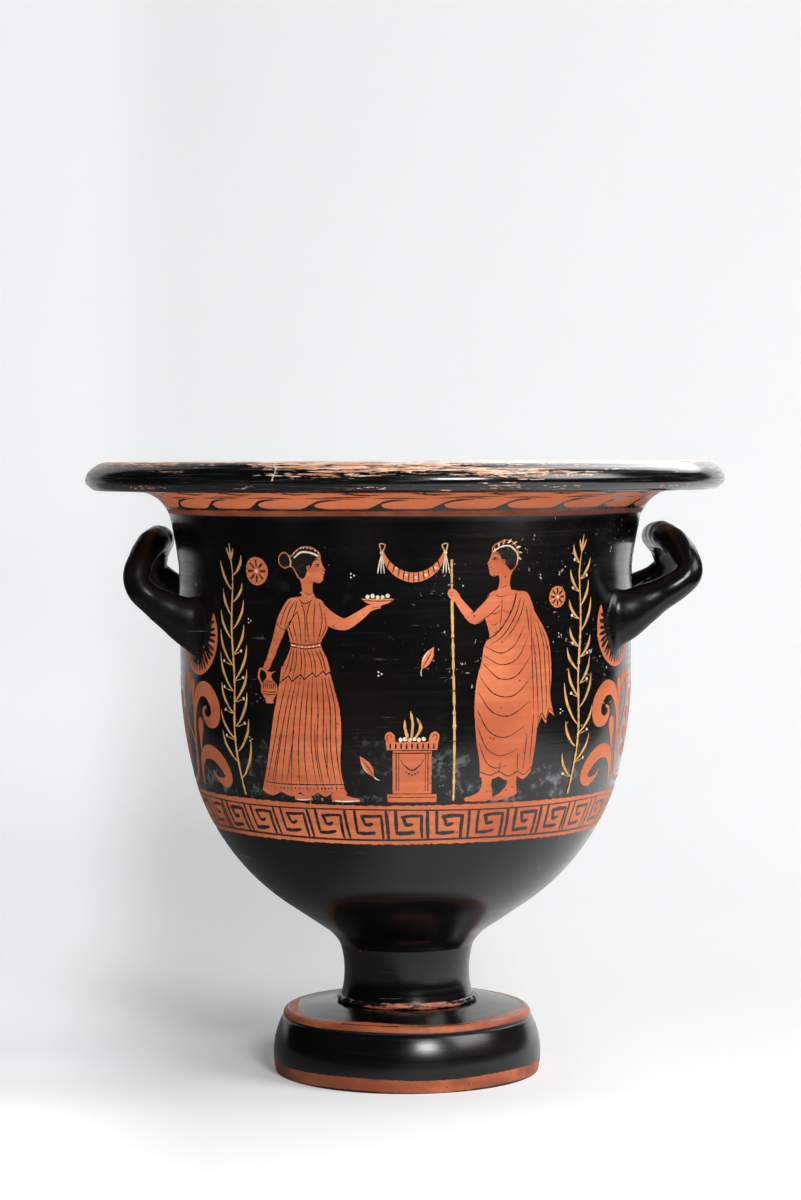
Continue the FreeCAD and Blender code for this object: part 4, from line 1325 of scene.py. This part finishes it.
def worn_rim():
    """Black slip rubbed through to the clay in thin streaks, most on the front of the nose."""
    look = Look("worn_rim", 0.18, 0.6)
    across, depth, height = look.x, look.y, look.z
    broad = look.noise(12.0, 4.0, 0.6, 26.0, (1.0, 4.0, 0.0))
    streak = look.noise(30.0, 5.0, 0.62, 42.0, (6.0, 2.0, 5.0))
    crumb = look.noise(190.0, 3.0, 0.65, 6.0, (2.0, 9.0, 1.0))
    broken = look.noise(75.0, 3.0, 0.6, 30.0, (3.0, 3.0, 8.0))
    # Where hands and cloths have rubbed it.
    handled = look.band(look.math("ABSOLUTE", look.plus(across, -0.01)), 0.10, 0.04)
    upper = look.band(height, 0.3255, 0.332)
    middle = look.times(look.band(height, 0.3235, 0.3262), look.band(height, 0.3325, 0.3285))
    squares = look.plus(look.times(across, across), look.times(depth, depth))
    outer = look.band(look.math("SQRT", squares), 0.1595, 0.163)
    level = look.weighed(
        (broad, 0.42), (streak, 0.36), (crumb, 0.22), (handled, 0.08), (upper, 0.03),
        (look.times(look.band(across, 0.02, 0.07), middle), 0.05),
        (look.band(height, 0.3285, 0.3265), -0.05),
        (look.band(height, 0.3325, 0.334), 0.04), (look.times(upper, look.band(across, -0.03, -0.06)),
                0.045),
        (look.math("SUBTRACT", 1.0, outer), -0.05))
    worn = look.times(look.band(level, 0.605, 0.62), look.band(broken, 0.43, 0.48))
    edge = look.times(look.band(height, 0.3347, 0.3352), look.band(streak, 0.38, 0.46), outer)
    chipped = look.times(look.band(look.noise(34.0, 3.0, 0.6, 1.0, (4.0, 4.0, 0.0)), 0.48, 0.58),
                         look.band(crumb, 0.56, 0.6))
    fillet = look.times(look.band(height, 0.3212, 0.322), look.band(height, 0.3238, 0.3229))
    worn = look.math("MAXIMUM", worn, look.math("MAXIMUM", edge, look.times(chipped, fillet)))
    # One slanting crack on the front.
    wander = look.times(look.math("SUBTRACT", look.noise(160.0, 3.0, 0.6), 0.5), 0.006)
    offset = look.plus(across, wander, look.times(height, -0.35))
    crack = look.band(look.math("ABSOLUTE", look.plus(offset, 0.181)), 0.0005, 0.0002)
    crack = look.times(crack, look.band(height, 0.3255, 0.3262), look.math("LESS_THAN", depth, 0.0))
    pale = look.band(look.noise(60.0, 4.0, 0.6, 6.0), 0.4, 0.62)
    clay = look.mixed(pale, (0.60, 0.27, 0.15), (0.80, 0.55, 0.41))
    dark = look.mixed(look.band(streak, 0.5, 0.68), (0.0036, 0.0034, 0.0036), (0.030, 0.028, 0.028))
    below = look.bump(worn, 0.0001, surface_bumps(look, 0.0003, 0.00003), -1.0)
    return look.finished(
        Base_Color=look.mixed(crack, look.mixed(worn, dark, clay), (0.66, 0.56, 0.48)),
        Roughness=look.plus(look.band(streak, 0.4, 0.65, 0.14, 0.30), look.times(worn, 0.25)),
        Normal=look.bump(crack, 0.0003, below, -1.0))


def squeezed_clay():
    """Bare clay at the foot of the stem, daubed with slip."""
    look = Look("squeezed_clay", 0.55, 0.35)
    daub = look.noise(26.0, 5.0, 0.7, 7.0, (4.0, 0.0, 2.0))
    aside = look.band(look.math("ABSOLUTE", look.plus(look.x, -0.001)), 0.025, 0.032)
    share = look.math("MAXIMUM", look.band(daub, 0.46, 0.5), aside)
    clay = look.mixed(look.band(look.noise(90.0, 4.0, 0.6), 0.35, 0.7), (0.47, 0.135, 0.06),
                      (0.60, 0.23, 0.12))
    return look.finished(Base_Color=look.mixed(share, clay, (0.009, 0.008, 0.008)),
                         Roughness=look.band(share, 0.0, 1.0, 0.55, 0.2),
                         Normal=look.bump(look.noise(60.0, 5.0, 0.6), 0.0012, surface_bumps(look)))


def bare_underside():
    """The unslipped clay underneath, dull and rubbed."""
    look = Look("bare_underside", 0.75, 0.25)
    colour = look.mixed(look.band(look.noise(20.0, 5.0, 0.6), 0.35, 0.7), (0.40, 0.16, 0.085),
                        (0.52, 0.25, 0.15))
    colour = look.mixed(look.band(look.noise(260.0, 3.0, 0.7), 0.6, 0.75, 0.0, 0.5), colour,
                        (0.16, 0.08, 0.05))
    return look.finished(Base_Color=colour,
                         Normal=look.bump(look.noise(150.0, 4.0, 0.6), 0.0003, surface_bumps(look)))


# How much the paper glows to camera, glossy and transmission rays, then what is
# added for the camera on the left, behind the pot, in front of it and close on
# its left, and for reflections on the right. QUIET darkens reflections of the
# floor on the left.
GLOW = 0.17
PALER = 0.28
BEHIND = 0.12
IN_FRONT = 0.09
NEAR = 0.10
MIRRORED = 0.6
QUIET = 0.75


def studio_white():
    """Pale paper: lit and shadowed, near white to the camera, clear from behind."""
    look = Look("studio_white", 0.9, 0.0)
    x, y, z = look.x, look.y, look.z
    ray = look.node("LightPath").outputs
    seen_directly = ray["Is Camera Ray"]
    reflected = ray["Is Glossy Ray"]
    drift = look.plus(x, look.times(y, 0.08))
    left = look.times(look.band(drift, -0.11, -0.215), look.band(z, 0.26, 0.0, 0.35, 1.0),
                      look.band(y, -0.1, 0.05, 0.8, 1.0))
    behind = look.times(look.math("MAXIMUM", look.band(x, -0.1, 0.1), look.band(z, 0.05, 0.35)),
                        look.band(y, 0.1, 0.6, 0.0, BEHIND))
    near = look.times(look.band(y, 0.3, 0.12), look.band(y, -0.05, 0.02),
                      look.band(x, -0.085, -0.15, 0.0, NEAR))
    paler = look.plus(look.times(left, PALER), behind, look.band(y, -0.06, -0.15, 0.0, IN_FRONT), near)
    mirrored = look.times(look.band(x, 0.08, 0.45, 0.0, MIRRORED), reflected)
    seen = look.math("MAXIMUM", seen_directly, look.math("MAXIMUM", reflected, ray["Is Transmission Ray"]))
    strength = look.plus(look.times(seen, GLOW), look.plus(look.times(paler, seen_directly), mirrored))
    glow = look.node("Emission", Color=(0.93, 0.94, 0.96, 1.0), Strength=strength)
    both = look.node("AddShader")
    look.put(both.inputs[0], look.shader.outputs[0])
    look.put(both.inputs[1], glow.outputs[0])
    quiet = look.node("Emission", Color=(0.0, 0.0, 0.0, 1.0))
    hushed = look.times(look.band(x, 0.02, -0.12), look.band(z, 0.12, 0.02), reflected, QUIET)
    front = look.blend(hushed, both.outputs[0], quiet.outputs[0])
    from_behind = look.node("NewGeometry").outputs["Backfacing"]
    sheet = look.blend(from_behind, front, look.node("BsdfTransparent").outputs[0])
    look.put(look.nodes["Material Output"].inputs["Surface"], sheet)
    soft = look.band(look.noise(1.3, 2.0, 0.5), 0.3, 0.7)
    return look.finished(Base_Color=look.mixed(soft, (0.86, 0.865, 0.875), (0.875, 0.88, 0.89)))


def pale_ground():
    """Ground round the paper: pale to the camera, with the end of the pot's shadow."""
    look = Look("pale_ground", 1.0, 0.0)
    aside = look.math("ABSOLUTE", look.plus(look.x, 0.22))
    shade = look.times(look.band(aside, 0.4, 0.0), look.band(look.y, 1.3, 0.6, 0.0, 0.33),
                       look.band(look.y, 0.3, 0.5))
    shade = look.math("SUBTRACT", shade, look.band(look.y, -3.0, -0.5, 0.0, 0.06))
    strength = look.times(look.math("SUBTRACT", 1.0, shade),
                          look.node("LightPath").outputs["Is Camera Ray"])
    return look.finished(Base_Color=(0.0, 0.0, 0.0, 1.0), Emission_Color=(0.95, 0.955, 0.96, 1.0),
                         Emission_Strength=strength)


# Drawing

GROUND = 160.9
front_scene(GROUND)
back_scene(GROUND)
meander_band(137.4, 158.5)
laurel_band(310.8, 319.5)
ring(CLAY, 307.5, 310.8)
for centre, root, span, lower in ((-HALF_ROUND / 2, 248.3, 57.0, 0.0), (HALF_ROUND / 2, 254.4, 54.0, 2.5)):
    palmettes(centre)
    for side in (1, -1):
        tongues(centre + side * span, root - lower, side)
ring(CLAY, 0.9, 7.6, 0.45)
ring(CLAY, 31.6, 35.2, 0.3)

# Pieces

gloss = black_gloss()
plain_gloss = black_gloss("black_gloss_plain", False)
handle_look = black_gloss("handle_gloss", False, 0.42, 0.0009, 0.26, 6.0)
white_look = added_paint("added_white", (0.78, 0.66, 0.50), (0.30, 0.13, 0.07))
yellow_look = added_paint("added_yellow", (0.66, 0.36, 0.12), (0.28, 0.11, 0.05))

wall = lathe("wall", WALL_SIDE + WALL_INSIDE + [WALL_SIDE[0]], [gloss])
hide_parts("upper_wall")

bowl = lathe("bowl", [(0.0, STEM_HIGH)] + LOWER_SIDE + BOWL_INSIDE, [gloss])
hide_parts("lower_bowl")

stem_line = STEM_SIDE + [(WELL, STEM_HIGH), (WELL, COLLAR_HIGH), STEM_SIDE[0]]
stem = lathe("stem_tube", stem_line, [plain_gloss], 256)
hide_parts("stem")

COLLAR_PARTS = 12
collar_side = run((36.4, COLLAR_LOW), ((38.9, 40.2), (36.4, COLLAR_HIGH), COLLAR_PARTS))
waves = [(hand.uniform(0.15, 0.6), hand.randint(3, 29), hand.uniform(0, 6.3)) for _ in range(7)]


def uneven(angle, number):
    """How far the potter's fingers moved the collar, in and up, at a point of its side."""
    swing = sum(size * sin(count * angle + phase) for size, count, phase in waves) * 0.5
    share = max(0.0, sin(pi * number / (COLLAR_PARTS + 1)))
    return min(0.0, 0.9 * swing * share - 0.35), 0.12 * swing * share


collar_line = collar_side + [(WELL, COLLAR_HIGH), (WELL, COLLAR_LOW), collar_side[0]]
collar = lathe("collar_ridge", collar_line, [squeezed_clay()], 360, None, uneven)
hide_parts("stem_collar")

outer_count = len(FOOT_SIDE) + 2
foot_line = FOOT_SIDE + run(FOOT_SIDE[-1], ((WELL, COLLAR_LOW), 4), ((WELL, 25.5), 4), ((53.0, 12.75), 6),
                            ((60.0, 0.0), 4), (FOOT_SIDE[0], 3))
foot = lathe("foot_disc", foot_line, [gloss, bare_underside()], 320, lambda i: 0 if i < outer_count else 1)
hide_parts("foot")

rim = lathe("rim_ring", RIM_LINE, [worn_rim()], 400)
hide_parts("rim")

for side in ("left", "right"):
    rings = handle_rings(side)
    around = COILS[side][0]
    last = (len(rings) - 1) * AROUND
    faces = [(i + k, i + AROUND + k, i + AROUND + (k + 1) % AROUND, i + (k + 1) % AROUND)[::around]
             for i in range(0, last, AROUND) for k in range(AROUND)]
    faces.append(tuple(range(AROUND))[::around])
    faces.append(tuple(range(last, last + AROUND))[::-around])
    points = [(x * MM, y * MM, z * MM) for ring in rings for x, y, z in ring]
    coil = new_object("coil_" + side, points, faces, None, [handle_look])
    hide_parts("handle_" + side)
    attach(coil, "root")

for name, paint, look in (("painted_clay", "clay", red_clay()), ("painted_lines", "ink", slip_line()),
                          ("painted_white", "white", white_look),
                          ("painted_yellow", "yellow", yellow_look)):
    skin = painted(name, paint, look)
    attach(skin, "root")

for piece in (wall, bowl, stem, collar, foot, rim):
    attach(piece, "root")

# Studio

PAPER = studio_white()
FRONT_EDGE = -0.5
BACK = 1.5
BEND = 0.9
COLUMNS = 12


def cove(name, wider, lower):
    """Floor and backdrop as one sheet, swept up behind the pot."""
    foot_of_bend = BACK - BEND
    steps = [FRONT_EDGE + 0.18 * k for k in range(6)]
    profile = [(y, 0.0) for y in steps if y <= foot_of_bend] + [(foot_of_bend, 0.0)]
    for k in range(1, 13):
        turn = radians(7.5 * k)
        profile.append((foot_of_bend + BEND * sin(turn), BEND - BEND * cos(turn)))
    profile += [(BACK, BEND + 0.3 * k) for k in range(1, 6)]
    points = []
    for y, z in profile:
        share = min(1.0, max(0.0, (y + 0.1) / 1.4))
        half = mix(0.65, 1.35, share * share * (3 - 2 * share)) + wider
        points += [(mix(-half, half, k / COLUMNS), y + lower, z - lower) for k in range(COLUMNS + 1)]
    wide = COLUMNS + 1
    faces = [(a, a + 1, a + 1 + wide, a + wide)
             for row in range(len(profile) - 1) for a in range(row * wide, row * wide + COLUMNS)]
    return new_object(name, points, faces, None, [PAPER])


sheet = cove("studio_sheet", 0.0, 0.0)
wings = cove("studio_wings", 1.6, 0.0005)

corners = [(x, y, -0.001) for x, y in ((-6.0, -6.0), (6.0, -6.0), (6.0, 6.0), (-6.0, 6.0))]
ground = new_object("studio_ground", corners, [(0, 1, 2, 3)], None, [pale_ground()])
for thing in (wings, ground):
    thing.visible_diffuse = False
    thing.visible_glossy = False
    thing.visible_transmission = False
    thing.visible_shadow = False


def lamp(name, place, target, size, power, colour=(1.0, 1.0, 1.0), kinds=("glossy", "diffuse")):
    """A soft lamp that the camera doesn't see, kept to the kinds of reflection named."""
    light = bpy.data.lights.new(name, "AREA")
    light.shape = "RECTANGLE"
    light.size, light.size_y = size
    light.energy = power
    light.color = colour
    thing = bpy.data.objects.new(name, light)
    thing.location = place
    aim = Vector(target) - Vector(place)
    thing.rotation_euler = aim.to_track_quat("-Z", "Y").to_euler()
    thing.visible_camera = False
    thing.visible_glossy = "glossy" in kinds
    thing.visible_diffuse = "diffuse" in kinds
    bpy.context.scene.collection.objects.link(thing)
    return thing


WHITE_LIGHT = (1.0, 1.0, 1.0)
DAYLIGHT = (1.0, 0.99, 0.975)
lamp("key_front", (0.55, -1.68, 0.98), (0.0, 0.0, 0.12), (0.50, 0.45), 23.5)
lamp("over_right", (0.58, -0.02, 1.85), (0.05, 0.0, 0.3), (1.05, 0.5), 7.0)
lamp("window_right", (1.65, -0.80, 1.40), (0.0, 0.0, 0.2), (1.2, 1.0), 32.0, DAYLIGHT)
lamp("pale_panel", (0.5, 0.8, 1.2), (0.1, 0.0, 0.33), (1.1, 1.0), 16.0, WHITE_LIGHT, ("glossy",))
fills = (
    lamp("fill_low_left", (-0.35, -0.95, -0.12), (-0.02, 0.0, 0.27), (0.35, 0.2), 5.0, WHITE_LIGHT,
         ("diffuse",)),
    lamp("fill_behind", (-0.25, 1.2, 0.85), (0.0, 0.0, 0.2), (0.6, 0.4), 11.0, WHITE_LIGHT, ("diffuse",)))
pot = bpy.data.collections.new("lit_by_fill")
for piece in bpy.context.scene.objects:
    if piece.type == "MESH" and piece not in (sheet, wings, ground):
        pot.objects.link(piece)
for fill in fills:
    fill.light_linking.receiver_collection = pot

# The world lights the pot a little and is pale to the camera.
world = bpy.data.worlds.new("studio")
world.use_nodes = True
nodes = world.node_tree.nodes
links = world.node_tree.links
dim = nodes["Background"]
pale = nodes.new("ShaderNodeBackground")
for background, colour, strength in ((dim, (0.9, 0.95, 1.0, 1.0), 0.01),
        (pale, (0.95, 0.955, 0.96, 1.0), 1.0)):
    background.inputs["Color"].default_value = colour
    background.inputs["Strength"].default_value = strength
either = nodes.new("ShaderNodeMixShader")
sources = (nodes.new("ShaderNodeLightPath").outputs["Is Camera Ray"], dim.outputs[0], pale.outputs[0])
for socket, source in zip(either.inputs, sources):
    links.new(source, socket)
links.new(either.outputs[0], nodes["World Output"].inputs["Surface"])
bpy.context.scene.world = world
bpy.context.scene.view_settings.view_transform = "Standard"

# The camera stands where the photographer's did, found by fitting the outline.
DOWNWARDS = 2.561
ROLL = -0.2
camera_data = bpy.data.cameras.new("camera")
camera_data.sensor_fit = "VERTICAL"
camera_data.sensor_height = 36.0
camera_data.lens = 91.8
camera_data.clip_end = 50.0
camera = bpy.data.objects.new("camera", camera_data)
camera.location = (-0.00275, -1.6827, 0.3345)
camera.rotation_euler = (pi / 2 - radians(DOWNWARDS), 0.0, 0.0)
camera.rotation_euler.rotate_axis("Z", radians(ROLL))
bpy.context.scene.collection.objects.link(camera)
bpy.context.scene.camera = camera
